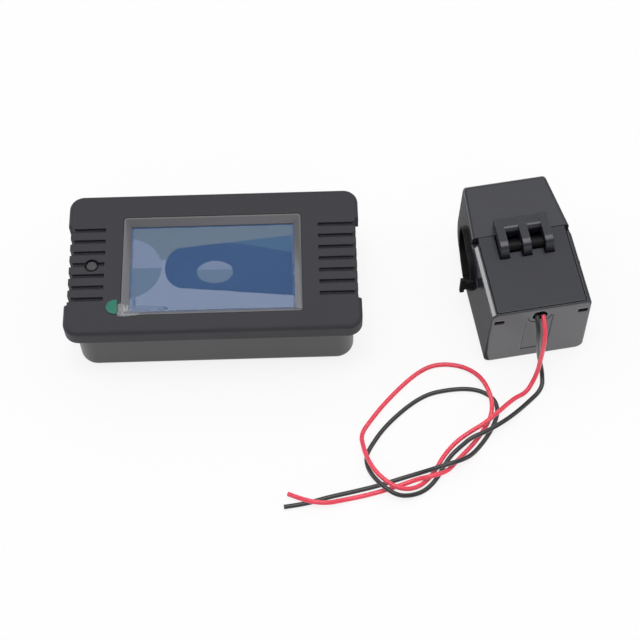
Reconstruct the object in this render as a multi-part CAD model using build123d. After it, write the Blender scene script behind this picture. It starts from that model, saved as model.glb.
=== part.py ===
from build123d import *
import os
from math import cos, dist, pi, radians, sin, tan

os.makedirs("parts", exist_ok=True)

# A panel power meter lying on its back, and the split-core current transformer that it measures with.
# Millimetres, +Z up out of the screen, origin at the centre of the meter's rear face.

# Meter: overall sizes
depth = 24.4              # rear face to front face
body_w = 84.6             # passes through the panel cut-out
body_d = 44.7
flange_over_x = 2.5       # how far the flange stands over the body, left and right
flange_over_y = 2.45
flange_t = 5.3            # front face to flange underside
flange_corner_r = 4.5
flange_edge_r = 1.3
body_corner_r = 5.5
body_rear_r = 2.5
case_wall = 1.8
plate_t = 2.2             # front plate of the bezel
skirt_t = 1.4             # bezel wall that plugs into the case
skirt_drop = 3.6          # how far it reaches past the flange underside
fit_gap = 0.15            # all round between parts that drop into each other
fold_gap = 0.4            # round a part that bends or turns

# Meter: finger grooves at both ends of the front
groove_count = 7
groove_pitch = 4.1
groove_mid_y = -0.25
groove_depth = 1.0
groove_width = 1.4
groove_left_l = 11.8      # in from the flange's edge
groove_right_l = 12.6
ridge_recess = 1.0        # ridge ends stand back from the flange edge
flute_depth = 2.0         # valleys between them
flute_r = 1.05

# Meter: screen
window_x = -0.3
window_y = -1.2
window_w = 54.5
window_h = 34.7
bevel_w = 2.2
frame_lip_t = 0.5
frame_foot_w = 0.35
frame_foot_t = 0.25
lcd_t = 2.2
lcd_border = 2.2          # glass that the frame covers
lcd_margin = 0.7          # and more of it at the two ends
holder_wall = 2.2
led_room = 1.9            # between the holder's end and the light guide
pin_count = 12
pin_pitch = 2.54
film_t = 0.15
tab_rise = 2.85           # its middle above the frame's lower edge
tab_w = 4.8
tab_reach = 5.65          # over the frame's left edge

# Meter: board and what it carries
board_t = 1.6
board_gap_x = 1.7         # from its edges to the case walls
board_gap_y = 0.35
board_corner_r = 3.0
post_inset_x = 4.8        # from the board's edges
post_inset_y = 4.2
bump_x = 25.0             # snap bumps between bezel and case
post_r = 2.5
peg_r = 1.0
peg_h = 2.3
button_inset = 1.9        # from the board's left edge
button_y = -0.8
button_r = 1.7
button_hole_r = 2.2
button_collar_r = 2.7
button_collar_t = 0.8
button_stem_r = 1.2
button_travel = 0.4
switch_w = 3.0
switch_d = 6.0
switch_h = 3.5
switch_floor = 1.2
plunger_r = 0.8
plunger_h = 1.5

capacitor_inset = 10.6    # from the board's left edge
capacitor_y = 2.0
capacitor_l = 17.5
capacitor_w = 9.0
capacitor_h = 11.5
smoothing_gap = 5.6       # beside the well
smoothing_y = 5.0
smoothing_r = 4.0
smoothing_h = 11.0
filter_x = 27.0
filter_y = -6.0
filter_r = 3.15
filter_h = 9.0
resistor_x = -19.0
resistor_y = -14.0
resistor_l = 10.0
resistor_r = 1.8
resistor_drop = 2.4       # its axis below the board's rear side
resistor_bend = 2.0
wire_r = 0.35
varistor_x = -4.0
varistor_y = -14.0
varistor_r = 4.5
varistor_t = 3.8
varistor_drop = 1.5
metering_x = 12.0
metering_y = -12.0
metering_l = 15.4
metering_w = 7.5
metering_h = 2.3
metering_legs = 12
controller_x = -2.0
controller_y = -5.5
controller_l = 10.0
controller_w = 6.0
controller_h = 1.6
controller_legs = 8

# Meter: terminals in a well in the rear face
pole_count = 4
pole_pitch = 7.5
block_y0 = 3.0
block_d = 9.0
block_recess = 1.2        # block face below the rear face
well_w = 34.0
well_y0 = 2.2
well_y1 = 19.2
well_wall = 1.4
well_floor_z = 11.8
head_r = 2.2
head_h = 1.7
screw_r = 1.25
thread_gap = 0.05
cage_w = 5.0
cage_wall = 0.6
cage_travel = 1.35
contact_w = 3.4
contact_t = 0.7
entry_w = 3.6
entry_h = 2.4

# Meter: side clips that hold it in the panel
clip_w = 10.0
clip_z0 = 4.0
clip_z1 = 16.0
clip_t = 1.6
clip_proud = 1.2

# Transformer: its place and its own frame, x along the aperture, y away from the lead end, z up
ct_x = 82.7
ct_y = -24.7
ct_turn = 8.3
ct_mid = 15.4             # middle of the width
ct_bottom_w = 31.6
ct_top_w = 30.2
ct_h = 27.9
base_l = 27.6
parting_gap = 0.2
cap_l = 21.6
cap_taper = 2.07          # each side, at the far end
cap_drop = 3.0            # top face, at the far end
cap_end_wall = 2.6
ct_wall = 1.6
ct_floor = 3.0
ct_edge = 1.35            # bright chamfer along the lid
lid_t = 1.4
lid_plug_t = 1.2
lid_inset = 1.45          # of the recess that the lid lies in, from the side faces
lid_y0 = 0.5              # and from the lead end
seam_gap = 0.25           # dark line around the lid
cap_edge_r = 1.2
parting_wall = 1.4
aperture_z = 13.6
aperture_r = 6.8          # both round ends of the oblong passage
aperture_y0 = 26.9        # centre of the near round end
aperture_y1 = 32.8        # centre of the far one
liner_t = 0.9
liner_proud = 1.1
tie_w = 4.0               # tongue at each mouth for a cable tie
tie_t = 1.1
tie_l = 4.3               # at the left mouth
far_tie_l = 2.2           # at the right one, of which the photograph shows only the top corner
tie_head_w = 6.8
tie_head_t = 1.3
tie_lift = 1.2            # its middle above the passage's
leg_t = 1.8               # core legs above and below the liner
leg_w = 12.0
yoke_t = 3.0
core_gap = 0.6            # between the sleeve and the cap's yoke
yoke_y = 8.5
bobbin_t = 0.8
winding_t = 3.5

# Transformer: hinge
pin_y = 22.8
pin_rise = 0.4            # its axis above the base's top face
pin_r = 0.8
barrel_r = 3.6            # round ends of the arms, sunk half way into slots in the lid
arm_count = 3
arm_pitch = 6.9
arm_w = 2.5
arm_gap = 0.2
running_gap = 0.05
rail_l = 3.1
web_drop = 0.4
web_reach = 1.2           # over the parting, towards the pin
web_round = 1.5
lug_r = 1.6
pocket_gap = 0.3
hinge_wall = 1.2          # lid material around the slots

# Transformer: latch, lead clamp and side studs
tongue_w = 9.0
tongue_t = 1.1
tongue_z = 0.5
tongue_y0 = 20.5
tongue_y1 = 36.0
catch_w = 5.4
catch_l = 2.4
clamp_w = 8.4
clamp_z0 = 4.9
clamp_t = 1.2
exit_drop = 3.9           # its middle below the top face
exit_r = 2.3
exit_x = 15.0
lead_r = 0.8
lead_spread = 0.95        # each lead from the exit's middle
tail_l = 4.6              # inside the wall
slot_y0 = 14.6            # fine slot beside the tie tongue
slot_y1 = 19.0
slot_z = 19.0
slot_w = 0.6
slot_depth = 0.6
snap_w = 3.0
snap_h = 1.7
snap_drop = 4.5
snap_x = 12.8             # from the middle


def block(x0, x1, y0, y1, z0, z1):
    """A box between two corners, given in either order."""
    return Pos((x0 + x1) / 2, (y0 + y1) / 2, (z0 + z1) / 2) * Box(abs(x1 - x0), abs(y1 - y0), abs(z1 - z0))


def slab(width, length, corner_r, z0, z1, x=0.0, y=0.0):
    """A plate with rounded corners, standing on z0."""
    return Pos(x, y, z0) * extrude(RectangleRounded(width, length, corner_r), z1 - z0)


def rod(radius, start, end):
    """A round bar from one point to another."""
    axis = Vector(*end) - Vector(*start)
    return Plane(origin=start, z_dir=axis) * Cylinder(radius, axis.length, align=(Align.CENTER, Align.CENTER, Align.MIN))


def prism(points, direction, length):
    """A flat outline of points carried along a direction."""
    return extrude(make_face(Polyline(*points, close=True)), amount=length, dir=direction)


def tube(points, radius, radii):
    """A round tube along straight runs joined by tangent arcs, one radius for each corner."""
    path = FilletPolyline(*points, radius=radii)
    start = Vector(*points[1]) - Vector(*points[0])
    return sweep(Plane(origin=points[0], z_dir=start) * Circle(radius), path=path)


def group(solids):
    """Separate solids that share one node."""
    return Compound(children=[solid for shape in solids for solid in shape.solids()])


def save(name, shape):
    export_step(shape, f"parts/{name}.step")


def place_ct(shape):
    return Location((ct_x, ct_y, 0), (0, 0, ct_turn)) * shape


# Levels and outlines that several pieces share
flange_w = body_w + 2 * flange_over_x
flange_d = body_d + 2 * flange_over_y
under_z = depth - flange_t
plate_z = depth - plate_t
skirt_z = under_z - skirt_drop
board_z = skirt_z         # the skirt holds the board down on its posts
board_back_z = board_z - board_t
case_in_w = body_w - 2 * case_wall
case_in_d = body_d - 2 * case_wall
board_w = case_in_w - 2 * board_gap_x
board_d = case_in_d - 2 * board_gap_y
post_x = board_w / 2 - post_inset_x
post_y = board_d / 2 - post_inset_y
button_x = button_inset - board_w / 2
capacitor_x = capacitor_inset - board_w / 2
smoothing_x = well_w / 2 + well_wall + smoothing_gap + smoothing_r
groove_left_end = groove_left_l - flange_w / 2
groove_right_end = flange_w / 2 - groove_right_l
tab_end_x = window_x - window_w / 2 - tab_reach
tab_y = window_y - window_h / 2 + tab_rise
skirt_w = case_in_w - 2 * fit_gap
skirt_d = case_in_d - 2 * fit_gap
hollow_w = skirt_w - 2 * skirt_t
hollow_d = skirt_d - 2 * skirt_t
groove_ys = [groove_mid_y + groove_pitch * (i - (groove_count - 1) / 2) for i in range(groove_count)]
groove_zone = groove_pitch * groove_count / 2
clip_zone = clip_w / 2 + 3.0
glass_w = window_w - 2 * bevel_w
glass_h = window_h - 2 * bevel_w
lcd_z1 = plate_z + 0.2 - frame_lip_t
lcd_z0 = lcd_z1 - lcd_t
lcd_w = glass_w + 2 * (lcd_border + lcd_margin)
lcd_d = glass_h + 2 * lcd_border
pole_xs = [pole_pitch * (i - (pole_count - 1) / 2) for i in range(pole_count)]
block_y1 = block_y0 + block_d
block_w = pole_pitch * pole_count + 1.0
pole_y = (block_y0 + block_y1) / 2
head_z0 = block_recess + 0.7
shoulder_z = head_z0 + head_h + thread_gap
shoulder_t = 0.7
cage_top_t = 1.2
cage_z0 = shoulder_z + shoulder_t + cage_travel + 0.35
contact_z = cage_z0 + cage_top_t + 0.9
cage_z1 = contact_z + contact_t + entry_h + 0.9
button_top_z = depth - 0.15
collar_z = plate_z - 0.1
plunger_z = board_z + switch_h + plunger_h


def front_bezel():
    """Flange, front plate and skirt in one moulding, with grooves cut through both ends."""
    flange = slab(flange_w, flange_d, flange_corner_r, under_z, depth)
    flange = fillet(flange.faces().sort_by(Axis.Z)[-1].edges(), flange_edge_r)
    shape = flange + slab(skirt_w, skirt_d, body_corner_r - case_wall, skirt_z, under_z)
    shape -= slab(hollow_w, hollow_d, 2.0, skirt_z, plate_z)
    shape -= slab(window_w + 2 * fit_gap, window_h + 2 * fit_gap, 1.0, plate_z - 1, depth + 1, window_x, window_y)
    shape -= block(-flange_w, flange_w, -clip_zone, clip_zone, skirt_z - 1, under_z)
    shape -= Pos(button_x, button_y, (skirt_z + depth) / 2) * Cylinder(button_hole_r, depth)
    shape -= rod(button_collar_r + fold_gap, (button_x, button_y, under_z - 1), (button_x, button_y, plate_z))
    for side in (-1, 1):
        edge = side * flange_w / 2
        shape -= block(edge - side * ridge_recess, edge + side * 5, groove_mid_y - groove_zone,
                       groove_mid_y + groove_zone, under_z - 1, depth + 1)
        for y in groove_ys:
            centre = edge - side * (flute_depth - flute_r)
            shape -= Pos(centre, y, depth / 2) * Cylinder(flute_r, 2 * depth)
            shape -= block(centre, edge + side * 5, y - flute_r, y + flute_r, under_z - 1, depth + 1)
    for y in groove_ys:
        steep, foot, low = y + groove_width * 0.35, y + groove_width * 0.1, y - groove_width * 0.65
        floor = depth - groove_depth
        for inner, side in ((groove_left_end, -1), (groove_right_end, 1)):
            outline = [(inner, steep, depth + 1), (inner, steep, floor), (inner, foot, floor),
                       (inner, low, depth), (inner, low, depth + 1)]
            shape -= prism(outline, (side, 0, 0), flange_w / 2)
    for x in (-bump_x, bump_x):
        for side in (-1, 1):
            y = side * (skirt_d / 2 - skirt_t / 2)
            shape -= Pos(x, y, under_z - 2.0) * Box(7.0, skirt_t * 2, 2.0)
    return shape


def window_frame():
    """Glossy bevelled ring round the screen, held by a foot behind the front plate."""
    foot_z = lcd_z1
    shape = slab(window_w, window_h, 0.9, foot_z, depth - 0.05, window_x, window_y)
    shape += slab(window_w + 2 * frame_foot_w, window_h + 2 * frame_foot_w, 1.2, foot_z, foot_z + frame_foot_t,
                  window_x, window_y)
    lip_z = foot_z + frame_lip_t
    low = Pos(window_x, window_y, lip_z) * Rectangle(glass_w, glass_h)
    high = Pos(window_x, window_y, depth) * Rectangle(window_w - 0.8, window_h - 0.8)
    shape -= loft([low.face(), high.face()], ruled=True)
    return shape - block(window_x - glass_w / 2, window_x + glass_w / 2, window_y - glass_h / 2,
                         window_y + glass_h / 2, foot_z - 1, lip_z + 0.1)


def rear_case():
    """Box behind the panel, with the terminal well, board posts, clip windows and snap bumps."""
    shape = slab(body_w, body_d, body_corner_r, 0, under_z)
    shape = fillet(shape.faces().sort_by(Axis.Z)[0].edges(), body_rear_r)
    shape -= slab(case_in_w, case_in_d, body_corner_r - case_wall, case_wall, depth)
    half = well_w / 2
    shape += block(-half - well_wall, half + well_wall, well_y0 - well_wall, case_in_d / 2 + 0.5,
                   0.5, well_floor_z + well_wall * 0.8)
    shape -= block(-half, half, well_y0, well_y1, -1, well_floor_z)
    shape -= block(-block_w / 2 - fit_gap, block_w / 2 + fit_gap, block_y0 - fit_gap, block_y1 + fit_gap, -1, depth)
    for x in (-post_x, post_x):
        for y in (-post_y, post_y):
            shape += rod(post_r, (x, y, case_wall - 0.5), (x, y, board_back_z))
            shape += rod(peg_r, (x, y, board_back_z), (x, y, board_back_z + peg_h))
    for side in (-1, 1):
        shape -= Pos(side * body_w / 2, 0, (clip_z0 + clip_z1 + fold_gap) / 2) * Box(
            4 * case_wall, clip_w + 2 * fold_gap, clip_z1 + fold_gap - clip_z0)
        for x in (-bump_x, bump_x):
            wall = side * case_in_d / 2
            shape += block(x - 3, x + 3, wall - side * 0.8, wall + side * 0.5, under_z - 2.6, under_z - 1.4)
    return shape


def panel_clip(side):
    """Springy tongue in the side wall, with a wedge that bears on the panel's rear face."""
    outer = side * body_w / 2
    inner = outer - side * clip_t
    shape = block(min(inner, outer), max(inner, outer), -clip_w / 2, clip_w / 2, clip_z0 + fit_gap, clip_z1)
    wedge = [(outer, -clip_w / 2, clip_z1 - 4), (outer + side * clip_proud, -clip_w / 2, clip_z1 - 0.6),
             (outer + side * clip_proud, -clip_w / 2, clip_z1), (outer, -clip_w / 2, clip_z1)]
    return shape + prism(wedge, (0, 1, 0), clip_w)


def main_board():
    shape = slab(board_w, board_d, board_corner_r, board_back_z, board_z)
    for x in (-post_x, post_x):
        for y in (-post_y, post_y):
            shape -= Pos(x, y, board_back_z) * Cylinder(peg_r + fit_gap, 4 * board_t)
    return shape


def button_cap():
    """Round cap with a collar behind the front plate and a stem on the switch."""
    cap = rod(button_r, (button_x, button_y, collar_z), (button_x, button_y, button_top_z))
    cap = fillet(cap.faces().sort_by(Axis.Z)[-1].edges(), 0.5)
    collar_base = collar_z - button_collar_t
    collar = rod(button_collar_r, (button_x, button_y, collar_base), (button_x, button_y, collar_z))
    return cap + collar + rod(button_stem_r, (button_x, button_y, plunger_z), (button_x, button_y, collar_base))


def tact_switch():
    shape = block(button_x - switch_w / 2, button_x + switch_w / 2, button_y - switch_d / 2,
                  button_y + switch_d / 2, board_z, board_z + switch_h)
    return shape - rod(plunger_r + 2 * running_gap, (button_x, button_y, board_z + switch_floor),
                       (button_x, button_y, depth))


def switch_plunger():
    low = board_z + switch_floor + 2 * button_travel
    return rod(plunger_r, (button_x, button_y, low), (button_x, button_y, plunger_z))


def lcd_panel():
    return block(window_x - lcd_w / 2, window_x + lcd_w / 2, window_y - lcd_d / 2, window_y + lcd_d / 2, lcd_z0, lcd_z1)


diffuser_x0 = window_x - lcd_w / 2 + holder_wall + led_room
diffuser_x1 = window_x + lcd_w / 2 - holder_wall - fit_gap
diffuser_d = lcd_d - 2 * holder_wall - 2 * fit_gap


def lcd_holder():
    shape = block(window_x - lcd_w / 2, window_x + lcd_w / 2, window_y - lcd_d / 2, window_y + lcd_d / 2, board_z, lcd_z0)
    half = lcd_w / 2 - holder_wall
    return shape - block(window_x - half, window_x + half, window_y - lcd_d / 2 + holder_wall,
                         window_y + lcd_d / 2 - holder_wall, board_z - 1, lcd_z0 + 1)


def lcd_diffuser():
    """Light guide with a thin wedge taken off its rear."""
    y0 = window_y - diffuser_d / 2
    thin = board_z + 1.4
    outline = [(diffuser_x0, y0, board_z + 0.3), (diffuser_x1, y0, thin), (diffuser_x1, y0, lcd_z0),
               (diffuser_x0, y0, lcd_z0)]
    return prism(outline, (0, 1, 0), diffuser_d)


def backlight_leds():
    x1 = diffuser_x0 - 0.2
    return group([block(x1 - 1.4, x1, y - 1.5, y + 1.5, board_z, board_z + 2.0) for y in (-11.2, -1.2, 8.8)])


def lcd_pins():
    y = window_y + lcd_d / 2
    xs = [pin_pitch * (i - (pin_count - 1) / 2) for i in range(pin_count)]
    return group([block(x - 0.25, x + 0.25, y, y + 0.35, board_z, lcd_z0 + 1.2) for x in xs])


def screen_film():
    """Clear cover film on the glass; only its plain outline here."""
    return block(window_x - glass_w / 2 + 0.3, window_x + glass_w / 2 - 0.3, window_y - glass_h / 2 + 0.3,
                 window_y + glass_h / 2 - 0.3, lcd_z1, lcd_z1 + film_t)


def film_pull_tab():
    """Tab on the film's corner: a strip up the bevel and a flat end over the bezel, rounded."""
    glass_x = window_x - glass_w / 2 + 0.6
    top_x = window_x - window_w / 2 + 0.5
    low, high = lcd_z1 + film_t, depth + 0.1
    lip = glass_x + 2.2
    round_x = tab_end_x + tab_w / 2
    strip_y = window_y - glass_h / 2 + fit_gap
    outline = [(lip, strip_y, low), (lip, strip_y, low + film_t), (glass_x, strip_y, low + film_t + 0.5),
               (top_x, strip_y, high + film_t), (top_x, strip_y, high), (glass_x, strip_y, low + 0.5)]
    strip = prism(outline, (0, 1, 0), tab_y + tab_w / 2 - strip_y)
    flat = block(top_x, round_x, tab_y - tab_w / 2, tab_y + tab_w / 2, high, high + film_t)
    return strip + flat + rod(tab_w / 2, (round_x, tab_y, high), (round_x, tab_y, high + film_t))


def mains_capacitor():
    shape = block(capacitor_x - capacitor_l / 2, capacitor_x + capacitor_l / 2, capacitor_y - capacitor_w / 2,
                  capacitor_y + capacitor_w / 2, board_back_z - capacitor_h, board_back_z)
    return fillet(shape.edges().filter_by(Axis.Z), 1.0)


def can(x, y, radius, height):
    """Round can on the board's rear side."""
    return rod(radius, (x, y, board_back_z - height), (x, y, board_back_z))


def fuse_resistor():
    """Round body between two wires bent down to the board."""
    z = board_back_z - resistor_drop
    shape = rod(resistor_r, (resistor_x - resistor_l / 2, resistor_y, z), (resistor_x + resistor_l / 2, resistor_y, z))
    for side in (-1, 1):
        inner = resistor_x + side * (resistor_l / 2 - 0.5)
        outer = resistor_x + side * (resistor_l / 2 + resistor_bend)
        wire = [(inner, resistor_y, z), (outer, resistor_y, z), (outer, resistor_y, board_back_z)]
        shape += tube(wire, wire_r, [resistor_bend / 2])
    return shape


def varistor():
    """Coated disc on edge, with two wires to the board."""
    z = board_back_z - varistor_r - varistor_drop
    shape = rod(varistor_r, (varistor_x, varistor_y - varistor_t / 2, z), (varistor_x, varistor_y + varistor_t / 2, z))
    for side in (-1, 1):
        x = varistor_x + side * varistor_r / 2
        shape += rod(wire_r, (x, varistor_y, z), (x, varistor_y, board_back_z))
    return shape


def chip(x, y, length, width, height, legs):
    """A moulded chip on the board's rear side, its legs down both long sides."""
    z = board_back_z
    body = block(x - length / 2, x + length / 2, y - width / 2, y + width / 2, z - height, z - 0.1)
    pitch = length / legs
    pieces = [body]
    for i in range(legs):
        leg_x = x + pitch * (i - (legs - 1) / 2)
        pieces.append(block(leg_x - 0.2, leg_x + 0.2, y - width / 2 - 1.0, y + width / 2 + 1.0, z - 0.35, z))
    shape = pieces[0]
    for leg in pieces[1:]:
        shape += leg
    return shape


def terminal_block():
    """Rising-cage terminal housing: a screw well, a shoulder and a cage chamber for each pole."""
    shape = block(-block_w / 2, block_w / 2, block_y0, block_y1, block_recess, board_back_z)
    chamber = cage_w / 2 + fit_gap
    for x in pole_xs:
        shape -= rod(head_r + 0.3, (x, pole_y, -1), (x, pole_y, shoulder_z))
        shape -= rod(screw_r + 0.15, (x, pole_y, 0), (x, pole_y, contact_z))
        shape -= block(x - chamber, x + chamber, pole_y - 2.8, pole_y + 2.8, shoulder_z + shoulder_t, cage_z1 + 0.3)
        entry_z = contact_z + contact_t
        shape -= block(x - entry_w / 2, x + entry_w / 2, pole_y, block_y1 + 1, entry_z, entry_z + entry_h)
        shape -= block(x - contact_w / 2 - 0.01, x + contact_w / 2 + 0.01, block_y0 + 0.8, pole_y, contact_z, entry_z)
        shape -= block(x - 0.5, x + 0.5, block_y0 + 0.8, block_y0 + 1.6, contact_z, board_back_z + 1)
    return shape


def terminal_screw(x):
    """Cross-slotted pan head on a plain shank that stands for its thread."""
    head = rod(head_r, (x, pole_y, head_z0), (x, pole_y, head_z0 + head_h))
    head = fillet(head.faces().sort_by(Axis.Z)[0].edges(), 0.6)
    shape = head + rod(screw_r, (x, pole_y, head_z0 + head_h), (x, pole_y, contact_z - 0.1))
    shape -= Pos(x, pole_y, head_z0) * Box(2 * 1.3, 0.6, 1.6)
    return shape - Pos(x, pole_y, head_z0) * Box(0.6, 2 * 1.3, 1.6)


def terminal_cage(x):
    """Square cage that the screw draws towards its head, clamping the wire against the contact."""
    shape = block(x - cage_w / 2, x + cage_w / 2, pole_y - 2.2, pole_y + 2.2, cage_z0, cage_z1)
    inner = cage_w / 2 - cage_wall
    shape -= block(x - inner, x + inner, pole_y - 3, pole_y + 3, cage_z0 + cage_top_t, cage_z1 - 0.8)
    return shape - rod(screw_r + running_gap, (x, pole_y, cage_z0 - 1), (x, pole_y, contact_z))


def terminal_contacts():
    """Fixed contact bars through the cages, each with a pin to the board."""
    bars = []
    for x in pole_xs:
        bar = block(x - contact_w / 2, x + contact_w / 2, block_y0 + 0.8, pole_y + 2.6, contact_z, contact_z + contact_t)
        bars.append(bar + block(x - 0.5, x + 0.5, block_y0 + 0.8, block_y0 + 1.6, contact_z, board_back_z))
    return group(bars)


# Transformer, in its own frame
side_lean = (ct_bottom_w - ct_top_w) / 2 / ct_h
pin_z = ct_h + pin_rise
exit_z = ct_h - exit_drop
snap_z = ct_h - snap_drop
lid_z = ct_h - lid_t
plug_z = lid_z - lid_plug_t
core_top = aperture_z + aperture_r + liner_t + 0.1 + leg_t
core_bottom = aperture_z - aperture_r - liner_t - 0.1 - leg_t
liner_r = aperture_r + liner_t
cap_y0 = base_l + parting_gap
cap_y1 = cap_y0 + cap_l
arm_xs = [ct_mid + arm_pitch * (i - (arm_count - 1) / 2) for i in range(arm_count)]
gap_xs = [(a + b) / 2 for a, b in zip(arm_xs, arm_xs[1:])]
lug_w = arm_pitch - arm_w - 2 * arm_gap
hinge_half = (arm_xs[-1] - arm_xs[0] + arm_w) / 2
rail_top = pin_z + barrel_r
pocket_z = pin_z - barrel_r - pocket_gap
leg_x0 = ct_mid - leg_w / 2
leg_x1 = ct_mid + leg_w / 2


def outline_at(y, inset, z0, z1, side_inset=0.0):
    """Four corners of the leaning cross-section at a distance y, drawn in by an inset."""
    low = ct_bottom_w / 2 - side_lean * z0 - inset - side_inset
    high = ct_bottom_w / 2 - side_lean * z1 - inset - side_inset
    return [(ct_mid - low, y, z0), (ct_mid + low, y, z0), (ct_mid + high, y, z1), (ct_mid - high, y, z1)]


def passage(radius, x0, x1):
    """Oblong bar with round ends, the shape of the conductor's way through."""
    middle = block(x0, x1, aperture_y0, aperture_y1, aperture_z - radius, aperture_z + radius)
    ends = [rod(radius, (x0, y, aperture_z), (x1, y, aperture_z)) for y in (aperture_y0, aperture_y1)]
    return middle + ends[0] + ends[1]


def half_width(z):
    return ct_bottom_w / 2 - side_lean * z


def base_block():
    """Outside of the base: leaning sides, chamfered top edges, rounded bottom edges."""
    shape = prism(outline_at(0, 0, 0, ct_h), (0, 1, 0), base_l)
    shape = chamfer(shape.edges().filter_by(Axis.Y).group_by(Axis.Z)[-1], ct_edge)
    shape = fillet(shape.edges().filter_by(Axis.Y).group_by(Axis.Z)[0], 2.5)
    return fillet(shape.faces().sort_by(Axis.Y)[0].edges(), 0.5)


def lead_xs():
    return [exit_x - lead_spread, exit_x + lead_spread]


def ct_base_shell():
    """Base moulding: floor, side walls, lead-end wall and the wall at the parting."""
    shape = base_block()
    shape -= prism(outline_at(lid_y0, lid_inset, lid_z, ct_h + 1), (0, 1, 0), base_l + 1)
    shape -= prism(outline_at(ct_wall, ct_wall, ct_floor, lid_z + 1), (0, 1, 0), base_l - ct_wall - parting_wall)
    shape -= block(-5, 40, base_l - parting_wall - 1, base_l + 1, plug_z - fit_gap, ct_h)
    shape -= passage(liner_r + running_gap, -5, 40)
    for z0 in (core_bottom, core_top - leg_t):
        shape -= block(leg_x0 - fit_gap, leg_x1 + fit_gap, base_l - 3, base_l + 1, z0 - fit_gap, z0 + leg_t + fit_gap)
    for side in (-1, 1):
        shape -= Pos(ct_mid + side * snap_x, 0, snap_z) * Box(snap_w, 4 * ct_wall, snap_h)
        face = ct_mid + side * half_width(slot_z)
        shape -= block(face - side * slot_depth, face + side, slot_y0, slot_y1, slot_z - slot_w / 2, slot_z + slot_w / 2)
    shape -= block(exit_x - clamp_w / 2, exit_x + clamp_w / 2, -1, clamp_t, clamp_z0, exit_z)
    shape -= rod(exit_r, (exit_x, -1, exit_z), (exit_x, ct_wall + 1, exit_z))
    shape -= block(ct_mid - tongue_w / 2 - fold_gap, ct_mid + tongue_w / 2 + fold_gap, tongue_y0 - fold_gap, base_l + 1,
                   -1, tongue_z + tongue_t + fold_gap)
    catch_y = tongue_y0 + 1.6
    top_z = tongue_z + tongue_t + fold_gap
    wedge = [(ct_mid - catch_w / 2, catch_y, top_z + 0.5), (ct_mid - catch_w / 2, catch_y, tongue_z + 0.2),
             (ct_mid - catch_w / 2, catch_y + 0.8, tongue_z + 0.2), (ct_mid - catch_w / 2, catch_y + catch_l, top_z),
             (ct_mid - catch_w / 2, catch_y + catch_l, top_z + 0.5)]
    return shape + prism(wedge, (1, 0, 0), catch_w)


def ct_base_lid():
    """Hinge-side cover of the base, hooked into the windows of the lead-end wall."""
    shape = base_block() & prism(outline_at(lid_y0 + seam_gap, lid_inset + seam_gap, lid_z + fit_gap, ct_h + 1),
                                 (0, 1, 0), base_l + 1)
    plug = prism(outline_at(ct_wall + fit_gap, ct_wall + fit_gap, plug_z, lid_z + 0.5), (0, 1, 0),
                 base_l - ct_wall - fit_gap)
    shape += plug
    slot_front = pin_y - barrel_r - pocket_gap
    shape += block(ct_mid - hinge_half - hinge_wall, ct_mid + hinge_half + hinge_wall, slot_front - hinge_wall,
                   base_l - parting_wall - fit_gap, core_top + fit_gap, lid_z)
    for x in arm_xs:
        shape -= block(x - arm_w / 2 - pocket_gap, x + arm_w / 2 + pocket_gap, slot_front, base_l + 1, pocket_z, ct_h + 1)
    for x in gap_xs:
        shape -= block(x - arm_pitch / 2, x + arm_pitch / 2, pin_y - lug_r - pocket_gap, base_l + 1, pocket_z, ct_h + 1)
    for side in (-1, 1):
        x = ct_mid + side * (snap_x - 0.55)
        shape += block(x - 0.7, x + 0.7, ct_wall + fit_gap, ct_wall + 1.1, snap_z - 0.6, plug_z + 0.2)
        shape += block(x - 0.7, x + 0.7, 0.8, ct_wall + 0.5, snap_z - 0.6, snap_z + 0.5)
    return shape - rod(exit_r, (exit_x, -1, exit_z), (exit_x, ct_wall + 1.5, exit_z))


def ct_wire_clamp():
    """Plate let into the lead-end wall below the exit hole; it presses on the two leads."""
    gap = 0.12
    shape = block(exit_x - clamp_w / 2 + gap, exit_x + clamp_w / 2 - gap, 0.08, clamp_t, clamp_z0 + gap, exit_z - gap)
    shape -= rod(exit_r, (exit_x, -1, exit_z), (exit_x, ct_wall, exit_z))
    groove = rod(exit_r + 1.5, (exit_x, -1, exit_z), (exit_x, 0.4, exit_z))
    return shape - (groove - rod(exit_r + 1.2, (exit_x, -2, exit_z), (exit_x, 1, exit_z)))


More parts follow.
